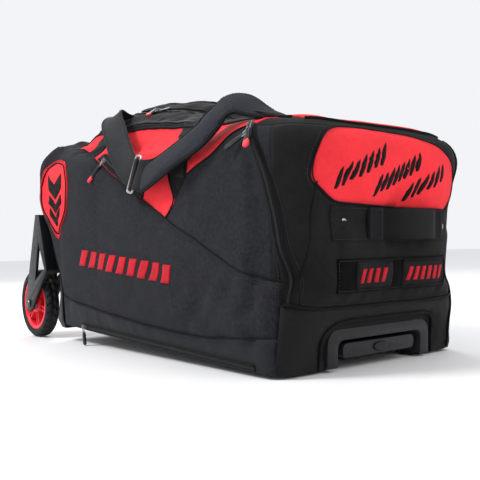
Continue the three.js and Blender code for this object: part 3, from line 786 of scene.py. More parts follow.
def scaled(path, wide, tall, middle=(0, 0)):
    """The path drawn in or out about a middle point, for a row of stitches beside an edge."""
    a0, t0 = middle
    return [((a - a0) * wide + a0, (t - t0) * tall + t0) for a, t in path]


def face_out(piece, outward):
    """Turns an open sheet over if it looks into the bag."""
    if (BAG.to_3x3() @ outward).dot(piece.data.polygons[0].normal) < 0:
        piece.data.flip_normals()


def thicken(piece, thick, body):
    modify(piece, "SOLIDIFY", thickness=thick * MM, offset=-1)
    apply_all(piece)
    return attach(piece, body) if body else piece


def drape(name, polygon, side, material, thick=1.0, lift=0.3, body="bag", grid=8.0, swell=0.0, base=False):
    """A cut panel sewn onto the fabric, with its own thickness and an optional padded swell.
    A base panel becomes part of the surface that later pieces lie on."""
    flat, faces = fill(polygon, grid)
    verts = []
    for a, t in flat:
        rise = swell * ease(min(math.dist((a, t), p) for p in polygon) / PAD_EDGE) if swell else 0.0
        verts.append(on_body(side, a, t, lift + thick + rise)[0])
    outward = on_body(side, *flat[0])[1]
    if base:
        grow_body(verts, faces)
    piece = fix_normals(make(name, verts, faces, material, flat))
    face_out(piece, outward)
    return thicken(piece, thick + 0.6, body)


def applique(name, shapes, side, grid, material, lift, thick, at):
    """Flat shapes laid on the fabric as one piece."""
    verts, faces, uvs = [], [], []
    for shape in shapes:
        flat, tris = fill(shape, grid)
        start = len(verts)
        verts += [on_body(side, a, t, lift)[0] for a, t in flat]
        faces += [tuple(i + start for i in f) for f in tris]
        uvs += flat
    piece = make(name, verts, faces, material, uvs)
    face_out(piece, on_body(side, *at)[1])
    return thicken(piece, thick, "bag")


def offset_path(path, shift):
    out = []
    for i, (a, b) in enumerate(path):
        ahead, behind = path[min(i + 1, len(path) - 1)], path[max(i - 1, 0)]
        da, db = ahead[0] - behind[0], ahead[1] - behind[1]
        size = math.hypot(da, db) or 1
        out.append((a - db / size * shift, b + da / size * shift))
    return out


def piping(name, path, side, material=PIPING, radius=2.0, lift=1.0, body="bag"):
    points = smooth_points([on_body(side, a, t, lift)[0] for a, t in path])
    return add_piece(name, tube(points, radius), material, body)


def smooth_points(points):
    for _ in range(2):
        middle = [(a + b * 2 + c) / 4 for a, b, c in zip(points, points[1:], points[2:])]
        points = points[:1] + middle + points[-1:]
    return points


def stitch_line(points, normals, length=3.2, gap=1.9, radius=0.45):
    """Separate stitches along a line of points: short rods that dip in at both ends."""
    parts = []
    run, total = [0.0], 0.0
    for a, b in zip(points, points[1:]):
        total += (b - a).length
        run.append(total)

    def at(distance):
        distance = min(max(distance, 0), total)
        i = 0
        while i < len(run) - 2 and run[i + 1] < distance:
            i += 1
        span = run[i + 1] - run[i] or 1
        t = (distance - run[i]) / span
        return points[i].lerp(points[i + 1], t), normals[i].lerp(normals[i + 1], t)

    place = 0.0
    while place + length < total:
        rod = []
        for share, dip in ((0, -0.5), (0.25, 0.15), (0.75, 0.15), (1, -0.5)):
            p, normal = at(place + share * length)
            rod.append(p + normal * dip)
        parts.append(tube(rod, radius, 5))
        place += length + gap
    return parts


def stitches(name, paths, side, lift=1.6, body="bag"):
    parts = []
    for path in paths:
        pairs = [on_body(side, a, t, lift) for a, t in path]
        points = smooth_points([p for p, _ in pairs])
        parts += stitch_line(points, [n for _, n in pairs])
    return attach(make(name, *join(parts), THREAD), body)


def ribbon(path, side, width, lift, thick=1.2, across=6, crown=0.0):
    """A flat tape on the fabric, as mesh data: path gives its middle line."""
    rows = []
    for k in range(across + 1):
        shift = (k / across - 0.5) * width
        raised = lift + thick + crown * (1 - (2 * k / across - 1) ** 2)
        rows.append([on_body(side, a, t, raised) for a, t in offset_path(path, shift)])
    verts, uvs = [], []
    run = 0.0
    middle = [p for p, _ in rows[across // 2]]
    for i in range(len(path)):
        if i:
            run += (middle[i] - middle[i - 1]).length
        for k in range(across + 1):
            verts.append(rows[k][i][0])
            uvs.append((k / across * width, run))
        for k in (across, 0):
            place, normal = rows[k][i]
            verts.append(place - normal * (thick + 0.8))
            uvs.append((k / across * width, run))
    return verts, loft_faces(len(path), across + 3), uvs


def lay_ribbon(name, path, side, width, material, lift=0.4, thick=1.4, crown=0.0):
    return add_piece(name, ribbon(path, side, width, lift, thick, crown=crown), material, "bag")


def coil_teeth(path, side, lift, reach=2.6, pitch=2.3):
    """The coil of a closed zip: two rows of loops that mesh, one loop at a time."""
    pairs = [on_body(side, a, t, lift) for a, t in path]
    points = smooth_points([p for p, _ in pairs])
    parts = []
    left_over = 0.0
    for (_, normal), a, b in zip(pairs, points, points[1:]):
        length = (b - a).length
        along = (b - a).normalized()
        side_way = along.cross(normal).normalized()
        place = left_over
        while place < length:
            p = a + along * place
            hand = 1 if len(parts) % 2 else -1
            root, tip = p + side_way * (hand * reach), p - side_way * (hand * 0.7)
            loop = [root - normal * 0.6, root + normal * 0.5, tip + normal * 0.7, tip - normal * 0.5]
            parts.append(tube(loop, pitch * 0.36, 5))
            place += pitch / 2
        left_over = place - length
    return parts


def zip_run(name, path, side, width, cad_nodes=(), lift=0.4, folds=True):
    """A zip: tape, coil, the two folded edges of cloth beside it, and their stitches."""
    tape = add_piece(name + "_tape", ribbon(path, side, width, lift, 0.9), TAPE, "bag")
    if cad_nodes:
        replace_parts(tape, *cad_nodes)
    add_piece(name + "_coil", join(coil_teeth(path, side, lift + 1.5)), COIL, "bag")
    for word, hand in (("upper", 1), ("lower", -1)) if folds else ():
        fold = offset_path(path, hand * (width / 2 - 4.5))
        shape = ribbon(fold, side, 5.0, lift + 0.9, 0.9, 4, crown=0.9)
        add_piece(f"{name}_fold_{word}", shape, PIPING, "bag")
    seams = [offset_path(path, hand * (width / 2 + 1.6)) for hand in (1, -1)]
    stitches(name + "_stitches", seams, side, lift=0.5)
    return tape


# ---- straps -------------------------------------------------------------------------------------
def frames_along(stations, step=6.0):
    """Points along a strap, each with the ways its width, its face and its length point."""
    centres = spline([s[0] for s in stations], step)
    marks = [Vector(s[0]) for s in stations]
    ways = [Vector(s[1]) for s in stations]
    out = []
    for i, p in enumerate(centres):
        k = min(range(len(marks) - 1), key=lambda k: (
            (p - marks[k]).length + (p - marks[k + 1]).length - (marks[k + 1] - marks[k]).length
        ))
        span = marks[k + 1] - marks[k]
        share = min(max((p - marks[k]).dot(span) / span.length_squared, 0), 1)
        across = ways[k].lerp(ways[k + 1], share)
        along = (centres[min(i + 1, len(centres) - 1)] - centres[max(i - 1, 0)]).normalized()
        across = (across - along * across.dot(along)).normalized()
        out.append((p, across, along.cross(across).normalized(), along))
    return out


def strap(stations, width, thick, columns=8, cup=0.0):
    """Webbing through stations, each a place and the way its width points."""
    placed_rows = frames_along(stations)
    verts, uvs = [], []
    run = 0.0
    for i, (p, across, normal, _) in enumerate(placed_rows):
        if i:
            run += (p - placed_rows[i - 1][0]).length
        for face in (1, -1):
            for k in range(columns + 1):
                share = (k / columns - 0.5) * face
                bend = cup * (1 - (2 * share) ** 2)
                edge = 0.75 if k in (0, columns) else 1.0
                verts.append(p + across * (share * width) + normal * (bend + face * thick / 2 * edge))
                uvs.append((share * width, run))
    return verts, loft_faces(len(placed_rows), 2 * (columns + 1)), uvs


def strap_piece(name, stations, width, thick, material, body, cup=0.0):
    return add_piece(name, strap(stations, width, thick, cup=cup), material, body)


def edge_points(lines, share, width, rise=0.0):
    return [p + across * (share * width) + normal * rise for p, across, normal, _ in lines]


def padded_strip(name, stations, width, thick, body, node, seam_at=None):
    """A handle's padded part: a filled sleeve whose cloth puffs between its bound edges."""
    lines = frames_along(stations, 5.0)
    rows = 12
    verts = []
    for p, across, normal, _ in lines:
        for face in (1, -1):
            for k in range(rows + 1):
                share = (k / rows - 0.5) * face
                crown = math.sqrt(max(1 - (2 * share) ** 2, 0)) * 0.75 + 0.15
                verts.append(p + across * (share * (width - 6)) + normal * (face * thick / 2 * crown))
    faces = loft_faces(len(lines), 2 * (rows + 1))
    piece = fix_normals(make(name, verts, faces, PAD_CLOTH, matrix=Matrix()))
    modify(piece, "REMESH", mode="VOXEL", voxel_size=3.0)
    apply_all(piece)
    moves = cloth_moves(piece, 12, 3.0, quality=4, mass=0.2, uniform_pressure_force=4, shrink_min=-0.02)
    for vertex, move in zip(piece.data.vertices, moves):
        vertex.co += move
    piece.data.transform(BAG)
    for polygon in piece.data.polygons:
        polygon.use_smooth = True
    piece.data.materials.clear()
    piece.data.materials.append(PAD_CLOTH[0])
    modify(piece, "SUBSURF", levels=1, render_levels=1)
    apply_all(piece)
    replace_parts(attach(piece, body), node)
    for word, share in (("upper", 0.5), ("lower", -0.5)):
        rod = tube(edge_points(lines, share, width - 5), 2.3)
        add_piece(f"{name}_bound_edge_{word}", rod, PIPING, body)
    parts = []
    for share in (0.41, -0.41):
        for face in (1, -1):
            path = edge_points(lines, share, width, face * thick * 0.36)
            parts += stitch_line(path, [normal * face for _, _, normal, _ in lines])
    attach(make(name + "_stitches", *join(parts), THREAD), body)
    if seam_at is None:
        return
    p, across, normal, _ = lines[int(seam_at * (len(lines) - 1))]
    for face, word in ((1, "outer"), (-1, "inner")):
        path = []
        for k in range(11):
            crown = math.sqrt(max(1 - (k / 5 - 1) ** 2, 0)) * 0.75 + 0.2
            path.append(p + across * (k / 10 - 0.5) * (width - 8) + normal * face * thick * 0.52 * crown)
        add_piece(f"{name}_seam_0_{word}", tube(path, 1.1, 6), PIPING, body)


# ---- hard parts ------------------------------------------------------------------------------------
def machined(node, material, bevel=0.8, segments=2):
    """A CAD node's own shape, with its edges rounded as moulding or tumbling leaves them."""
    source = frame["nodes"][node]
    mesh = source.data.copy()
    with edited(mesh) as bm:
        bmesh.ops.remove_doubles(bm, verts=bm.verts, dist=1e-5)
        bmesh.ops.dissolve_limit(bm, angle_limit=math.radians(2), verts=bm.verts, edges=bm.edges)
        bmesh.ops.recalc_face_normals(bm, faces=bm.faces)
    piece = put(node + "_finished", mesh, material)
    modifier = modify(piece, "BEVEL", width=bevel * MM, segments=segments, limit_method="ANGLE")
    modifier.angle_limit = math.radians(32)
    modifier.harden_normals = True
    modifier.use_clamp_overlap = True
    apply_all(piece)
    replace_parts(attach(piece, source["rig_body"]), node)


def revolve(profile, steps, reshape=None):
    """Turns a closed (radius, y) profile round the wheel's axis, at the origin."""
    verts = []
    for i in range(steps):
        angle = math.tau * i / steps
        for r, y in profile:
            radius = reshape(angle, r, y) if reshape else r
            verts.append(Vector((radius * math.cos(angle), y, radius * math.sin(angle))))
    return verts, loft_faces(steps, len(profile), closed=True)


def box_part(x0, x1, y0, y1, z0, z1):
    verts = [Vector((x, y, z)) for x in (x0, x1) for y in (y0, y1) for z in (z0, z1)]
    faces = [(0, 1, 3, 2), (4, 6, 7, 5), (0, 4, 5, 1), (2, 3, 7, 6), (0, 2, 6, 4), (1, 5, 7, 3)]
    return verts, faces


def placed(part, matrix):
    verts, faces = part
    return [matrix @ v for v in verts], faces


def tread(angle, r, y):
    """Chunky lugs: raised blocks, half a pitch out of step on the two shoulders."""
    if r <= 72:
        return r
    phase = angle / math.tau * LUGS + (0.5 if y > 0 else 0) + abs(y) * 0.035
    lug = ease((abs((phase % 1) - 0.5) * 2 - 0.28) / 0.2)
    middle = 1 - ease((3.2 - abs(y)) / 1.6)
    return r if lug * middle > 0.5 else r - 3.0


LUGS = 26


def add_wheel(word, side):
    body = f"wheel_{word}"
    centre = BAG @ Matrix.Translation((AXLE[0], side * 206, AXLE[1]))
    shoulder = [(59.5, -13.5), (63, -14.9), (68, -15.5), (71.5, -14.3), (73.5, -12.3), (75.4, -10),
                (75.8, -7),
                (76, -3.6), (76, -1.2)]
    profile = shoulder + [(r, -y) for r, y in reversed(shoulder)]
    tyre = bevelled(f"tyre_{word}_tread", revolve(profile, 208, tread), TYRE, body, 0.5, 1, centre,
                    angle_limit=math.radians(40))
    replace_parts(tyre, f"tyre_{word}")
    parts = [
        revolve([(59.2, -12.5), (59.2, 12.5), (56, 13.2), (51.5, 12.2), (50, 9.5), (50.6, 2), (50.6, -2),
                 (50, -9.5), (51.5, -12.2), (56, -13.2)], 96),
        revolve([(11.4, -13.5), (17, -13.5), (20.5, -11.5), (22, -7), (22, 7), (20.5, 11.5), (17, 13.5),
                 (11.4, 13.5)], 64),
    ]
    for i in range(6):
        turn = Matrix.Rotation(-math.tau * i / 6 + 0.26, 4, "Y")
        for shift in (-4.6, 4.6):
            parts.append(placed(box_part(20, 52, -10.5, 10.5, shift - 1.7, shift + 1.7), turn))
        parts.append(placed(box_part(20, 52, -5.5, 5.5, -4, 4), turn))
    hub = bevelled(f"hub_{word}_spoked", join(parts), HUB, body, 1.1, 2, centre, angle_limit=math.radians(50))
    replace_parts(hub, f"hub_{word}")
    machined(f"bearing_{word}", STEEL, 0.6)
    machined(f"axle_{word}", DARK_STEEL, 0.8)
    machined(f"wheel_bracket_{word}", PLASTIC, 1.6, 3)


def add_hard_parts():
    for word, side in (("front", -1), ("back", 1)):
        add_wheel(word, side)
        for stage in ("trolley_sleeve", "trolley_middle_tube", "trolley_inner_tube"):
            machined(f"{stage}_{word}", ALLOY, 0.3)
        machined(f"rest_foot_{word}", FOOT, 1.2)
        machined(f"frame_rivet_{word}", STEEL, 1.0)
    machined("handle_cup", CUP_PLASTIC, 2.4, 3)
    machined("trolley_grip", GRIP_RUBBER, 2.6, 3)
    machined("release_button", CUP_PLASTIC, 1.0)
    machined("base_board", BOARD, 1.0)
    machined("wheel_housing", PLASTIC, 0.8)


# ---- the bag's cloth --------------------------------------------------------------------------------
PANELS = ("front_panel", "back_panel", "handle_end_panel", "wheel_end_panel", "base_panel", "top_panel")
PANEL_CLOTH = (GREY_WALL, GREY_WALL, BLACK_WALL, BLACK_WALL, BASE_CLOTH, BLACK_TOP)


def cut_hole(bm, planes, gone):
    for place, normal in planes:
        geometry = bm.verts[:] + bm.edges[:] + bm.faces[:]
        bmesh.ops.bisect_plane(bm, geom=geometry, plane_co=place, plane_no=normal, dist=0.01)
    faces = [face for face in bm.faces if gone(face.calc_center_median())]
    bmesh.ops.delete(bm, geom=faces, context="FACES")


def add_panels(body):
    """The soft skin, parted into its panels, with the lid's mouth and the handle's cup cut out."""
    x0, x1, y0, y1 = LID[0] + 9, LID[1] - 9, LID[2] + 9, LID[3] - 9
    mouth = [((x, 0, 0), (1, 0, 0)) for x in (x0, x1)] + [((0, y, 0), (0, 1, 0)) for y in (y0, y1)]
    half, top, back = 114, 57, 289
    cup = [((0, half, 0), (0, 1, 0)), ((0, -half, 0), (0, 1, 0)), ((0, 0, top), (0, 0, 1)),
           ((back, 0, 0), (1, 0, 0))]
    for index, node in enumerate(PANELS):
        mesh = body.data.copy()
        with edited(mesh) as bm:
            bmesh.ops.delete(bm, geom=[f for f in bm.faces if f.material_index != index], context="FACES")
            if node == "top_panel":
                cut_hole(bm, mouth, lambda p: x0 < p.x < x1 and y0 < p.y < y1)
            if node in ("handle_end_panel", "base_panel"):
                cut_hole(bm, cup, lambda p: abs(p.y) < half and p.z < top and p.x > back)
        mesh.transform(BAG)
        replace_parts(thicken(put(node + "_cloth", mesh, PANEL_CLOTH[index]), 2.4, "bag"), node)


DIAGONAL = [(-305, 388), (-250, 372), (-205, 352), (-164, 335), (-90, 304), (-22, 273), (23, 255), (86, 226),
            (128, 209), (170, 194), (220, 172), (267, 153), (310, 142), (346, 136)]
BASE_SEAM = [(-322, 64), (-250, 58), (-123, 49), (32, 41), (150, 38), (255, 47), (338, 56)]
WHEEL_EDGE = [(-322, 64), (-345, 100), (-372, 150), (-408, 210), (-432, 262), (-440, 310), (-424, 352),
              (-380, 384)]
END_ZIP = [(283, 362), (300, 336), (319, 292), (334, 242), (343, 192), (348, 146), (349, 102)]
S_CURVE = [(146, 294), (166, 304), (190, 314), (212, 323), (229, 338), (242, 353), (260, 363), (284, 367)]
WEDGE = [(86, 226), (108, 242), (116, 256), (109, 270), (98, 286), (89, 306), (84, 332), (82, 360)]


def nearest(path, point):
    return min(range(len(path)), key=lambda i: math.dist(path[i], point))


def add_front():
    diagonal = curve2(DIAGONAL, 6)
    base_seam = curve2(BASE_SEAM, 8)
    wheel_edge = curve2(WHEEL_EDGE, 8)
    wedge = curve2(WEDGE, 6)
    s_curve = curve2(S_CURVE, 6)
    start = nearest(diagonal, WEDGE[0])
    red = diagonal[:start] + wedge + line2([(82, 372), (82, 414), (-290, 414), (-305, 388)], 7)[:-1]
    drape("front_red_panel", red, "front", RED_WALL, 0.6, 0.3, base=True)
    # Painted shade: a black panel fills the gap between the wedge and the red trim, where the grey front
    # panel only lies in the shadow under the handle's pad.
    waist = nearest(wedge, WEDGE[2])
    painted_shade_outline = wedge[waist:] + line2([(82, 414), (150, 414), (146, 294), (116, 256)], 7)[:-1]
    drape("front_painted_shade_panel", painted_shade_outline, "front", BLACK_WALL, 0.6, 0.3, base=True)
    trim = s_curve + line2([(292, 376), (298, 414), (150, 414), (146, 294)], 7)[:-1]
    drape("front_red_shoulder", trim, "front", RED_WALL, 0.6, 0.3, base=True)
    pocket = base_seam[:-1] + line2([(338, 56), (346, 136)], 6)[:-1] + diagonal[::-1][:-1]
    pocket += line2([(-305, 388), (-340, 392), (-380, 384)], 7)[:-1] + wheel_edge[::-1][:-1]
    drape("front_pocket_panel", pocket, "front", GREY_WALL, 1.2, 0.8, swell=5.0, base=True)
    lower = line2([(-318, 4), (334, 4)], 8)[:-1] + line2([(334, 4), (338, 56)], 8)[:-1] + base_seam[::-1]
    drape("front_base_panel", lower, "front", BASE_CLOTH, 1.0, 0.9, swell=1.5, base=True)
    piping("front_base_seam", base_seam, "front", radius=1.7, lift=0.6)
    stitches("front_base_stitches", [offset_path(base_seam, -4)], "front", lift=0.5)
    piping("pocket_edge_piping", diagonal, "front", radius=1.5, lift=0.6)
    double = [offset_path(diagonal, -5), offset_path(diagonal, -8)]
    stitches("pocket_edge_stitches", double, "front", lift=0.5)
    piping("wedge_piping", wedge, "front", radius=1.3, lift=1.3)
    stitches("wedge_stitches", [offset_path(wedge, -4)], "front", lift=0.6)
    piping("shoulder_piping", s_curve, "front", radius=1.3, lift=1.3)
    stitches("shoulder_stitches", [offset_path(s_curve, -4)], "front", lift=0.6)
    piping("wheel_edge_piping", wheel_edge, "front", radius=1.6, lift=0.5)
    open_zip = [p for p in diagonal if -178 < p[0] < 20]
    zip_run("pocket_zip", [(a + 5, t + 11) for a, t in open_zip], "front", 20, ("pocket_zip_track",), 0.2)
    zip_run("base_zip", line2([(-240, 9), (300, 9)], 8), "front", 13, ("base_zip_track",), 0.2, folds=False)
    zip_run("top_edge_zip", line2([(-196, 429), (62, 429)], 7), "front", 16, lift=0.3, folds=False)
    zip_run("end_zip", curve2(END_ZIP, 6), "front", 17, ("end_zip_track",), 0.3)


def bars(name, rows, side, lift, lean, thick):
    """Plain slanted bars, each (start, end, low, high)."""
    shapes = []
    for a0, a1, t0, t1 in rows:
        slant = (t1 - t0) * lean
        shapes.append(line2([(a0, t0), (a1, t0), (a1 + slant, t1), (a0 + slant, t1), (a0, t0)], 4)[:-1])
    applique(name, shapes, side, 6, EMBROIDERY, lift, thick, (rows[0][0], rows[0][2]))


CREST_X = -333


def crest_outline(shrink):
    """A plain shield: round shoulders and a point, inset by shrink all round."""
    half, top, shoulder, tip = 71 - shrink, 346 - shrink, 296, 184 + shrink * 1.8
    brow = lerp(shoulder, top, 0.72)
    right = [(half * 0.35, top - 3), (half * 0.82, brow), (half, shoulder), (half * 0.88, 258),
             (half * 0.52, 216)]
    points = [(CREST_X - a, t) for a, t in right[2::-1]] + [(CREST_X, top)]
    points += [(CREST_X + a, t) for a, t in right]
    left = [(2 * CREST_X - a, t) for a, t in reversed(points[-2:])]
    point = line2([points[-1], (CREST_X, tip), left[0]], 5)[:-1]
    return curve2(points, 5)[:-1] + point + curve2(left + [points[0]], 5)[:-1]


def add_badges():
    crest = drape("crest_field", crest_outline(0), "front", RED_WALL, 1.0, 0.4, grid=6, base=True)
    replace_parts(crest, "side_crest_patch")
    for word, shrink, material in (("outer", 5, DARK_PRINT), ("inner", 0, EMBROIDERY)):
        piping(f"crest_line_{word}", looped(crest_outline(shrink)), "front", material, 1.6, 0.6)
    for number, (low, wide, tall) in enumerate(((276, 38, 30), (246, 34, 17), (219, 25, 17))):
        left, right, foot, wing = CREST_X - wide, CREST_X + wide, low - 8, low + 14
        shape = [(left, wing), (CREST_X, foot), (right, wing), (right, wing + tall), (CREST_X, foot + tall),
                 (left, wing + tall), (left, wing)]
        drape(f"crest_chevron_{number}", line2(shape, 5)[:-1], "front", DARK_PRINT, 1.2, 0.3, grid=6)
    rows = [(-216 + 36 * i, -216 + 36 * i + 23, 134 - 1.9 * i, 165 - 1.9 * i) for i in range(9)]
    bars("front_embroidery", rows, "front", 1.2, lean=0.45, thick=1.4)


# ---- handle end, wheel end, back ------------------------------------------------------------------
def ring_outline(x0, x1, y0, y1, r):
    """A rounded rectangle as a closed outline."""
    points = []
    corners = ((x1 - r, y0 + r, -90), (x1 - r, y1 - r, 0), (x0 + r, y1 - r, 90), (x0 + r, y0 + r, 180))
    for cx, cy, start in corners:
        for i in range(7):
            angle = math.radians(start + 15 * i)
            points.append((cx + r * math.cos(angle), cy + r * math.sin(angle)))
    return line2(looped(points), 6)[:-1]


INSET = [(-179, 278), (-172, 306), (-158, 336), (-132, 354), (-94, 362), (-16, 363), (66, 357), (124, 344),
         (154, 318), (165, 290), (162, 270)]


def softened(path):
    """The same closed outline with its corners rubbed round."""
    for _ in range(4):
        before, after = path[-1:] + path[:-1], path[1:] + path[:1]
        path = [((p[0] + 2 * q[0] + r[0]) / 4, (p[1] + 2 * q[1] + r[1]) / 4)
                for p, q, r in zip(before, path, after)]
    return path


def add_handle_end():
    inset = line2([(142, 238), (-136, 248), (-179, 278)], 6)[:-1] + curve2(INSET, 6)
    inset = softened(inset + line2([(162, 270), (142, 238)], 6)[1:-1])
    cloth = drape("end_inset_cloth", inset, "end", RED_WALL, 0.8, 0.4, swell=2.0, base=True)
    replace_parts(cloth, "end_inset_panel")
    piping("end_inset_piping", looped(inset), "end", radius=1.2, lift=0.5)
    stitches("end_inset_stitches", [scaled(looped(inset), 1.035, 1.06, (0, 300))], "end", lift=0.5)
    for number, (a, t, reach, count) in enumerate(((-128, 283, 98, 7), (-48, 275, 100, 8), (28, 268, 82, 6))):
        brush_marks(f"end_brush_{number}", a, t, reach, count, number)
    ridge = line2([(-158, 384), (158, 384)], 8)
    top = line2([(158, 384), (158, 470), (-158, 470), (-158, 384)], 8)[:-1]
    drape("end_top_red", ridge[:-1] + top, "end", RED_TOP, 0.8, 0.4, swell=1.0, base=True)
    piping("end_top_piping", ridge, "end", radius=2.2, lift=1.6)
    arch = [(-134, 4), (-134, 46), (-128, 62), (-112, 72), (-86, 75)]
    arch += [(-a, t) for a, t in reversed(arch)]
    seam = curve2([(-206, 99), (-100, 97), (0, 96), (100, 95), (206, 94)], 8)
    lower = line2([(-206, 4), (-134, 4)], 8)[:-1] + line2(arch, 6)
    lower += line2([(134, 4), (206, 4), (206, 94)], 8)[1:-1] + seam[::-1]
    drape("end_base_cloth", lower, "end", BASE_BLACK, 1.0, 0.6, swell=4.5, base=True)
    piping("end_base_seam", seam, "end", radius=1.7, lift=2.0)
    stitches("end_base_stitches", [offset_path(seam, 5)], "end", lift=0.6)
    piping("cup_arch_piping", line2(arch, 5), "end", radius=2.2, lift=2.6)
    fold = curve2([(-169, 276), (-176, 200), (-182, 140), (-184, 98)], 8)
    piping("inset_corner_seam", fold, "end", radius=1.1, lift=0.5)
    far_corner = curve2([(178, 8), (180, 60), (181, 100), (183, 180), (184, 260), (184, 330), (178, 385)], 8)
    piping("corner_piping_back", far_corner, "end", radius=2.0, lift=1.8)
    backing = ring_outline(-140, 146, 192, 243, 4)
    drape("grab_backing", backing, "end", BLACK_WALL, 0.7, 0.3, base=True)
    stitches("grab_backing_stitches", [scaled(looped(backing), 0.97, 0.88, (0, 217.5))], "end", lift=0.5)
    hook = drape("hook_strip_pile", ring_outline(-133, 133, 118, 167, 2), "end", PILE, 1.2, 0.4, base=True)
    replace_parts(hook, "hook_strip")
    stitches("hook_strip_stitches", [looped(ring_outline(-130, 130, 121, 164, 2))], "end", lift=0.5)
    for word, y0, y1, count in (("front", -96, -12, 4), ("back", 12, 124, 6)):
        edge = ring_outline(y0, y1, 121, 162, 4)
        patch = drape(f"patch_{word}_cloth", edge, "end", BLACK_WALL, 1.6, 0.4, base=True)
        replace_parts(patch, f"patch_{word}")
        piping(f"patch_{word}_edge", looped(edge), "end", radius=1.2, lift=0.6)
        pitch = (y1 - y0 - 18) / count
        rows = [(y0 + 8 + i * pitch, y0 + 8 + i * pitch + pitch * 0.55, 131, 152) for i in range(count)]
        bars(f"patch_{word}_bars", rows, "end", 0.9, lean=0.3, thick=0.8)


def brush_marks(name, a, t, reach, count, seed):
    """A row of generic dry-brush slashes, climbing to the right, with ragged sides."""
    shapes = []
    for number in range(count):
        x = a + reach * number / (count - 1)
        z = t + reach * number / (count - 1) * 0.4
        tall = 16.5 + 4.5 * noise.noise(Vector((seed * 3.1, number * 1.7, 0.3)))
        left, right = [], []
        for step in range(9):
            share = step / 8
            width = 4.8 * math.sin(math.pi * min(share * 0.9 + 0.12, 1)) ** 0.6
            ragged = 2.4 * noise.noise(Vector((seed, number * 2.3, step * 1.9)))
            middle, height = x + (share - 0.5) * tall * 1.1, z + (share - 0.5) * tall * 2
            left.append((middle - width + ragged, height))
            right.append((middle + width + ragged * 0.4, height))
        shapes.append(left[::-1] + right)
    applique(name, shapes, "end", 7, DARK_PRINT, 0.5, 0.5, (a, t))


def add_pocket(word, side, panel, swell, radius, shrink, middle):
    """A padded pocket of grey cloth, bound with piping and a row of stitches."""
    name = word + "_panel" if side == "back" else word
    drape(name, panel, side, GREY_WALL, 1.0, 0.5, swell=swell, base=True)
    piping(f"{word}_piping", looped(panel), side, radius=radius, lift=1.8)
    stitches(f"{word}_stitches", [scaled(looped(panel), *shrink, (0, middle))], side, lift=0.5)


def add_wheel_end():
    piping("wheel_end_seam", line2([(-150, 214), (150, 214)], 8), "wheel", radius=1.8, lift=1.2)
    outer = ring_outline(-150, 150, 226, 344, 26)
    add_pocket("wheel_end_pocket", "wheel", outer, 4.0, 1.9, (0.955, 0.9), 285)
    zip_line = [(-196, 352), (-170, 362), (-120, 366), (0, 367), (120, 366), (170, 362), (196, 352)]
    zip_run("wheel_end_zip", curve2(zip_line, 6), "wheel", 26, lift=0.8)
    for word, a in (("front", -60), ("back", 60)):
        lay_ribbon(f"wheel_end_web_{word}", line2([(a, 232), (a, 330)], 7), "wheel", 30, WEB, thick=1.6)
    for i in range(5):
        a = -112 + 56 * i
        rib = line2([(a, 24), (a, 186)], 8)
        lay_ribbon(f"housing_rib_{i}", rib, "wheel", 9, PLASTIC, lift=5.2, thick=2.4, crown=1.0)


def add_back():
    edge = curve2([(-300, 386), (-215, 352), (-120, 330), (0, 322), (120, 330), (215, 352), (292, 380)], 8)
    red = line2([(-292, 412), (-300, 386)], 6)[:-1] + edge + line2([(292, 412), (-292, 412)], 8)[1:-1]
    drape("back_red_panel", red, "back", RED_WALL, 0.6, 0.3, swell=1.0, base=True)
    piping("back_red_piping", edge, "back", radius=1.5, lift=1.4)
    stitches("back_red_stitches", [offset_path(edge, -5)], "back", lift=0.6)
    seam = curve2([(-322, 64), (-150, 54), (0, 50), (150, 54), (322, 64)], 8)
    lower = line2([(-318, 4), (322, 4), (322, 64)], 8)[:-1] + seam[::-1][:-1]
    lower += line2([(-322, 64), (-318, 4)], 8)[:-1]
    drape("back_base_panel", lower, "back", BASE_CLOTH, 1.0, 0.6, swell=1.5, base=True)
    piping("back_base_seam", seam, "back", radius=1.7, lift=2.0)
    stitches("back_base_stitches", [offset_path(seam, 5)], "back", lift=0.6)
    add_pocket("back_pocket", "back", ring_outline(-240, 240, 74, 300, 30), 6.0, 1.8, (0.97, 0.95), 187)
    wheel_edge = curve2([(-358, 60), (-386, 140), (-424, 220), (-444, 300), (-430, 350)], 8)
    piping("wheel_edge_piping_back", wheel_edge, "back", radius=1.6, lift=1.2)


# ---- top and lid ----------------------------------------------------------------------------------
def lid_path(grow, bend, starts, far, step):
    """Round the three free sides of the lid, grow outside it: starts says how far from the two
    edges each corner begins, bend where its middle lies, far where the sides stop."""
    x0, x1, y0, y1 = LID
    drop, back = starts
    right = [(x1 + grow, y0 + drop), (x1 + bend[0], y0 + bend[1]), (x1 - back, y0 - grow)]
    left = [(x0 + back, y0 - grow), (x0 - bend[0], y0 + bend[1]), (x0 - grow, y0 + drop)]
    path = line2([(x1 + grow, y1 + far), right[0]], step)[:-1] + curve2(right, 5)[:-1]
    path += line2([right[2], left[0]], step)[:-1] + curve2(left, 5)[:-1]
    return path + line2([left[2], (x0 - grow, y1 + far)], step)


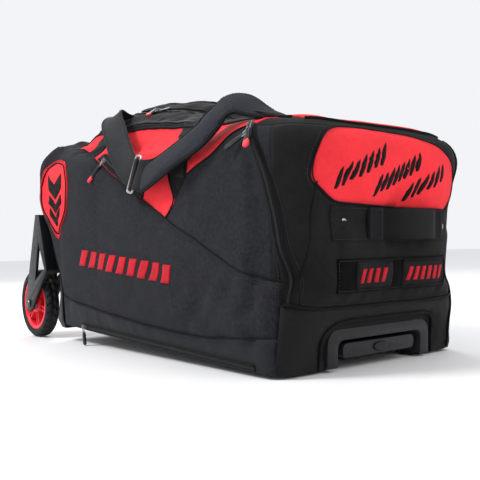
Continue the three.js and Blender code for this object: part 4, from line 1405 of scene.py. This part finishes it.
def add_top():
    for word, y, hand in (("near", -168, 1), ("far", 172, -1)):
        ends = line2([(-330, y), (322, y)], 8)
        piping(f"top_seam_{word}", ends, "top", radius=2.4, lift=1.6)
        stitches(f"top_stitches_{word}", [[(a, b + hand * 7) for a, b in ends]], "top", lift=0.6)
    wheel_red = ring_outline(-352, -286, -140, 140, 16)
    drape("top_red_wheel_end", wheel_red, "top", RED_TOP, 0.8, 0.4, swell=1.0, base=True)
    piping("top_red_wheel_piping", looped(wheel_red), "top", radius=1.6, lift=1.4)
    x0, x1, y0, y1 = LID
    zip_run("lid_zip", lid_path(6, (-2, 1), (22, 24), 0, 6), "top", 24, ("lid_zip_track",), 0.6)
    rim = line2([(x1 - 9, y1 - 9), (x1 - 9, y0 + 9), (x0 + 9, y0 + 9), (x0 + 9, y1 - 9)], 6)
    lay_ribbon("mouth_binding", rim, "top", 12, PIPING, lift=-0.4, thick=0.8)
    flap = line2([(x0 + 1, y1 + 9), (x1 - 1, y1 + 9)], 8)[:-1] + lid_path(-1, (-6, 6), (20, 20), 9, 8)[:-1]
    lid = drape("lid_cloth", flap, "top", BLACK_TOP, 1.6, 1.0, body=None, grid=7, swell=4.0, base=True)
    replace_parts(lid, "lid_flap")
    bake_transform(lid)
    inner = ring_outline(x0 + 30, x1 - 30, y0 + 50, y1 - 30, 26)
    drape("lid_red_panel", inner, "top", RED_TOP, 0.8, 0.3, body="lid", swell=0.6, base=True)
    piping("lid_red_piping", looped(inner), "top", radius=1.9, lift=0.8, body="lid")
    seam = scaled(looped(inner), 1.03, 1.07, (-28.5, 31))
    stitches("lid_red_stitches", [seam], "top", lift=0.5, body="lid")
    edge = lid_path(-5, (-9, 9), (20, 20), -14, 6)
    piping("lid_edge_binding", edge, "top", radius=2.2, lift=0.8, body="lid")


def add_bands():
    over = WALL_TOP + EDGE_T
    for name, side, x, low, high in (
        ("front_band_left", "front", -216, 350, over + 26),
        ("front_band_right", "front", 121, 292, over + 60),
        ("rear_band_left", "back", -190, 318, over + 8), ("rear_band_right", "back", 190, 318, over + 8),
    ):
        path = line2([(x, low), (x, high)], 7)
        if name == "front_band_right":
            path = curve2([(120, low), (118, 310), (92, 372), (60, 424), (28, high)], 7)
        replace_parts(lay_ribbon(name + "_web", path, side, 44, BLACK_WEB, lift=0.6, thick=1.8), name)
        left, right, foot, head = x - 17, x + 17, low + 5, low + 40
        box = [(left, foot), (right, foot), (right, head), (left, head), (left, foot), (right, head)]
        stitches(name + "_box", [line2(box, 5), line2([(left, head), (right, foot)], 5)], side, lift=2.7)


# ---- handles --------------------------------------------------------------------------------------
def add_front_handle():
    """Webbing from the near band down to a metal loop, and a padded part from there to the far band."""
    body = "front_carry_handle"
    web = [
        ((-236, -118, 440), (1, 0, 0)), ((-230, -142, 440), (1, 0.1, 0.1)),
        ((-212, -164, 433), (0.9, 0.3, 0.4)), ((-174, -185, 415), (0.78, 0.4, 0.52)), ((-122, -206, 385), (0.75, 0.42, 0.5)),
        ((-76, -223, 353), (0.65, 0.4, 0.6)), ((-26, -238, 321), (0.4, 0.3, 0.85)),
        ((6, -243, 303), (0.15, 0.2, 0.97)),
    ]
    piece = strap_piece("front_handle_webbing", web, 52, 2.6, WEB, body, cup=-2.0)
    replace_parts(piece, "front_handle_web")
    lines = frames_along(web)
    parts = []
    for share in (0.43, -0.43):
        for face, rise in ((-1, -1.6), (1, 1.5)):
            path = edge_points(lines, share, 52, rise)
            parts += stitch_line(path, [normal * face for _, _, normal, _ in lines])
    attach(make("front_handle_web_stitches", *join(parts), THREAD), body)
    across = Vector((0.16, 0.2, 0.965)).normalized()
    along = (Vector((1, 0, 0)) - across * across.x).normalized()
    half, reach, bend = 32, 9, 4
    corners = []
    for u, v, start in ((half - bend, reach - bend, 0), (bend - half, reach - bend, 90),
                        (bend - half, bend - reach, 180), (half - bend, bend - reach, 270)):
        for i in range(6):
            angle = math.radians(start + 18 * i)
            corners.append((u + bend * math.cos(angle), v + bend * math.sin(angle)))
    centre = Vector((14, -245, 301))
    loop = [centre + across * u + along * v for u, v in corners]
    ring = add_piece("front_handle_loop", tube(loop, 2.2, 12, closed=True), STEEL, body)
    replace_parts(ring, "front_handle_ring")
    rail = [((8, -247, 301), (0.16, 0.2, 0.965)), ((19, -247, 300), (0.16, 0.2, 0.965))]
    strap_piece("front_handle_rail", rail, 54, 2.2, BLACK_WEB, body)
    tab = [((22, -247, 300), (0.18, 0.22, 0.95)), ((38, -248, 298), (0.2, 0.25, 0.94)),
           ((58, -244, 298), (0.1, 0.3, 0.93))]
    strap_piece("front_handle_tab", tab, 54, 2.2, BLACK_WEB, body)
    pad = [
        ((44, -243, 296), (0.24, 0.29, 0.93)), ((72, -243, 302), (-0.1, 0.4, 0.88)),
        ((134, -240, 327), (-0.45, 0.45, 0.72)), ((187, -232, 352), (-0.5, 0.38, 0.76)),
        ((203, -219, 375), (-0.5, 0.4, 0.74)), ((218, -205, 395), (-0.35, 0.58, 0.68)),
        ((233, -190, 399), (-0.1, 0.82, 0.48)), ((254, -177, 388), (0, 0.95, 0.22)),
        ((276, -166, 377), (0, 1, 0)),
    ]
    padded_strip("front_handle_grip", pad, 62, 11, body, "front_handle_pad", seam_at=0.56)
    tail = [((262, -170, 387), (0, 1, 0.1)), ((278, -166, 382), (0, 1, 0)), ((286, -164, 377), (0, 1, 0)),
            ((278, -165, 372), (0, 1, 0)), ((262, -168, 374), (0, 1, 0))]
    strap_piece("front_handle_tail", tail, 48, 2.4, WEB, body)


def add_rear_handle():
    body = "rear_carry_handle"
    y = 231
    for word, side in (("left", -1), ("right", 1)):
        leg = [((190, y - 2, 342), (1, 0)), ((190, y, 290), (1, 0)), ((176, y, 246), (0.85, 0.5)),
               ((150, y, 216), (0.5, 0.85)), ((124, y, 204), (0, 1)), ((96, y, 204), (0, 1))]
        rows = [((side * x, depth, z), (a, 0, side * b)) for (x, depth, z), (a, b) in leg]
        piece = strap_piece(f"rear_handle_webbing_{word}", rows, 50, 2.6, WEB, body)
        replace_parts(piece, f"rear_handle_leg_{word}")
    pad = [((-104, y, 204), (0, 0, 1)), ((0, y + 1, 204), (0, 0, 1)), ((104, y, 204), (0, 0, 1))]
    padded_strip("rear_handle_grip", pad, 68, 11, body, "rear_handle_pad")


def add_grab_handle():
    """The flat strap sewn on the handle end: it bows off the wall between two folded, boxed ends."""
    profile = [(-60, 0), (-40, 0.5), (-28, 4), (-12, 15), (6, 20), (30, 21), (58, 20), (76, 16),
               (92, 5), (104, 1), (116, 0)]
    level = 218
    path = [((on_body("end", y, level)[0].x + rise + 2.4, y, level), (0, 0, 1)) for y, rise in profile]
    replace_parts(strap_piece("grab_handle_web", path, 46, 3.4, BLACK_WEB, "bag"), "grab_handle")
    for word, y0, y1 in (("front", -62, -30), ("back", 92, 118)):
        middle = (y0 + y1) / 2
        wall = on_body("end", middle, level)[0].x
        rows = [((wall + lift, y, level), (0, 0, 1)) for lift, y in ((4.6, y0), (4.8, middle), (5.6, y1))]
        strap_piece(f"grab_handle_fold_{word}", rows, 48, 3.0, BLACK_WEB, "bag")
        left, right, foot, head = y0 + 4, y1 - 4, 198, 238
        parts = []
        for z0, z1, ya, yb in ((foot, head, left, left), (foot, head, right, right),
                               (foot, foot, left, right), (head, head, left, right)):
            ends = line([(wall + 7.3, ya, z0), (wall + 7.3, yb, z1)], 4)
            parts += stitch_line(ends, [Vector((1, 0, 0))] * len(ends))
        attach(make(f"grab_handle_box_{word}", *join(parts), THREAD), "bag")


# ---- sliders and pulls ------------------------------------------------------------------------------
def plate(points, z0, z1):
    n = len(points)
    verts = [Vector((a, b, z)) for z in (z0, z1) for a, b in points]
    faces = [tuple(reversed(range(n))), tuple(range(n, 2 * n))]
    faces += [(i, (i + 1) % n, n + (i + 1) % n, n + i) for i in range(n)]
    return verts, faces


def tapered(x0, x1, half0, half1):
    """A tongue with round ends, as an outline."""
    points = []
    for cx, r, start in ((x1, half1, -90), (x0, half0, 90)):
        for i in range(13):
            angle = math.radians(start + 15 * i)
            points.append((cx + r * math.cos(angle), r * math.sin(angle)))
    return points


def slider_frame(place, along, out):
    z = Vector(out).normalized()
    x = Vector(along)
    x = (x - z * x.dot(z)).normalized()
    turn = Matrix((x, z.cross(x), z)).transposed().to_4x4()
    return Matrix.Translation(place) @ turn


def add_slider(name, place, along, out, hang, length, tip=True, bodies=None):
    """A zip slider and its pull: a wire link, a rubber grip and a tip. hang is the way it lies."""
    slider_body, pull_body = bodies or (f"{name}_slider", f"{name}_pull")
    at = slider_frame(place, along, out)
    shield = tapered(-5, 5, 4.6, 3.2)
    bridge = [Vector((x, 0, z)) for x, z in ((-4.5, 3.6), (-3.2, 6.2), (0, 7.2), (3.2, 6.2), (4.5, 3.6))]
    parts = [plate(shield, 2.2, 3.8), plate(shield, -0.4, 0.8), box_part(3.2, 5.6, -0.9, 0.9, 0.4, 2.6),
             tube(spline(bridge, 1.0), 1.0, 6)]
    slider = bevelled(f"{name}_slider_body", placed(join(parts), at), DARK_STEEL, slider_body, 0.35, 2)
    swing = slider_frame(place, hang, out)
    half_link = [(1, -2.4, 4.6), (9, -2.6, 4.2), (13, -2.2, 3.4)]
    link = spline(half_link + [(x, -y, z) for x, y, z in reversed(half_link)], 1.2, closed=True)
    add_piece(f"{name}_pull_link", placed(tube(link, 0.9, 6, closed=True), swing), STEEL, pull_body)
    split = 8 + length * 0.76
    handle = [plate(tapered(13, split, 3.6, 4.6), 1.4, 5.4),
              plate(tapered(16, split - 2, 1.4, 1.8), 5.2, 6.2)]
    grip = bevelled(f"{name}_pull_grip", placed(join(handle), swing), PULL, pull_body, 1.1, 3)
    end = placed(plate(tapered(split + 1, 6 + length, 4.7, 4.7), 1.2, 5.7), swing)
    bevelled(f"{name}_pull_tip", end, PULL_TIP if tip else PULL, pull_body, 1.2, 3)
    return slider, grip


def add_joined_slider(name, *spec, **more):
    """A slider that stands for the CAD's slider and pull of the same name."""
    slider, grip = add_slider(name, *spec, **more)
    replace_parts(slider, f"{name}_slider")
    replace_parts(grip, f"{name}_pull")


def add_sliders():
    fixed = ("bag", "bag")
    for name, a, t, along, hang, length, lift in (
        ("pocket", -139, 333, (437, 0, -185), (-0.5, -0.25, -1), 40, 3.0),
        ("end_zip", 285, 358, (64, 0, -245), (0.5, 0, -1), 46, 3.0),
        ("base_zip", -226, 10, (1, 0, 0), (-0.1, -0.3, -1), 27, 2.6),
    ):
        place, normal = on_body("front", a, t, lift)
        add_joined_slider(name, place, along, normal, hang, length, tip=name != "base_zip")
    place, _ = on_body("top", -174, -88, 3.8)
    add_joined_slider("lid", place, (1, 0, 0), (0, -0.5, 1), (0.7, -0.8, -0.5), 42)
    place, _ = on_body("top", -156, -88, 2.2)
    add_slider("lid_second", place, (-1, 0, 0), (0, -0.5, 1), (1, -0.15, 0.05), 34, False, fixed)
    place, normal = on_body("front", 291, 346, 3.0)
    add_slider("end_zip_second", place, (-64, 0, 245), normal, (-1, 0, -0.75), 36, False, fixed)
    for number, (y, t, hang) in enumerate(((-176, 360, (-0.35, -0.2, -1)), (-150, 361, (-0.3, 0.6, -1)))):
        place, normal = on_body("wheel", y, t, 3.2)
        along = (0, 1 - 2 * number, 0)
        add_slider(f"wheel_end_zip_{number}", place, along, normal, hang, 38, bool(number), fixed)


add_camera()
add_studio()
settled = soft_body()
grow_body([v.co for v in settled.data.vertices], [tuple(p.vertices) for p in settled.data.polygons])
add_panels(settled)
bpy.data.objects.remove(settled)
add_hard_parts()
add_bands()
add_front()
add_badges()
add_handle_end()
add_wheel_end()
add_back()
add_top()
add_front_handle()
add_rear_handle()
add_grab_handle()
add_sliders()
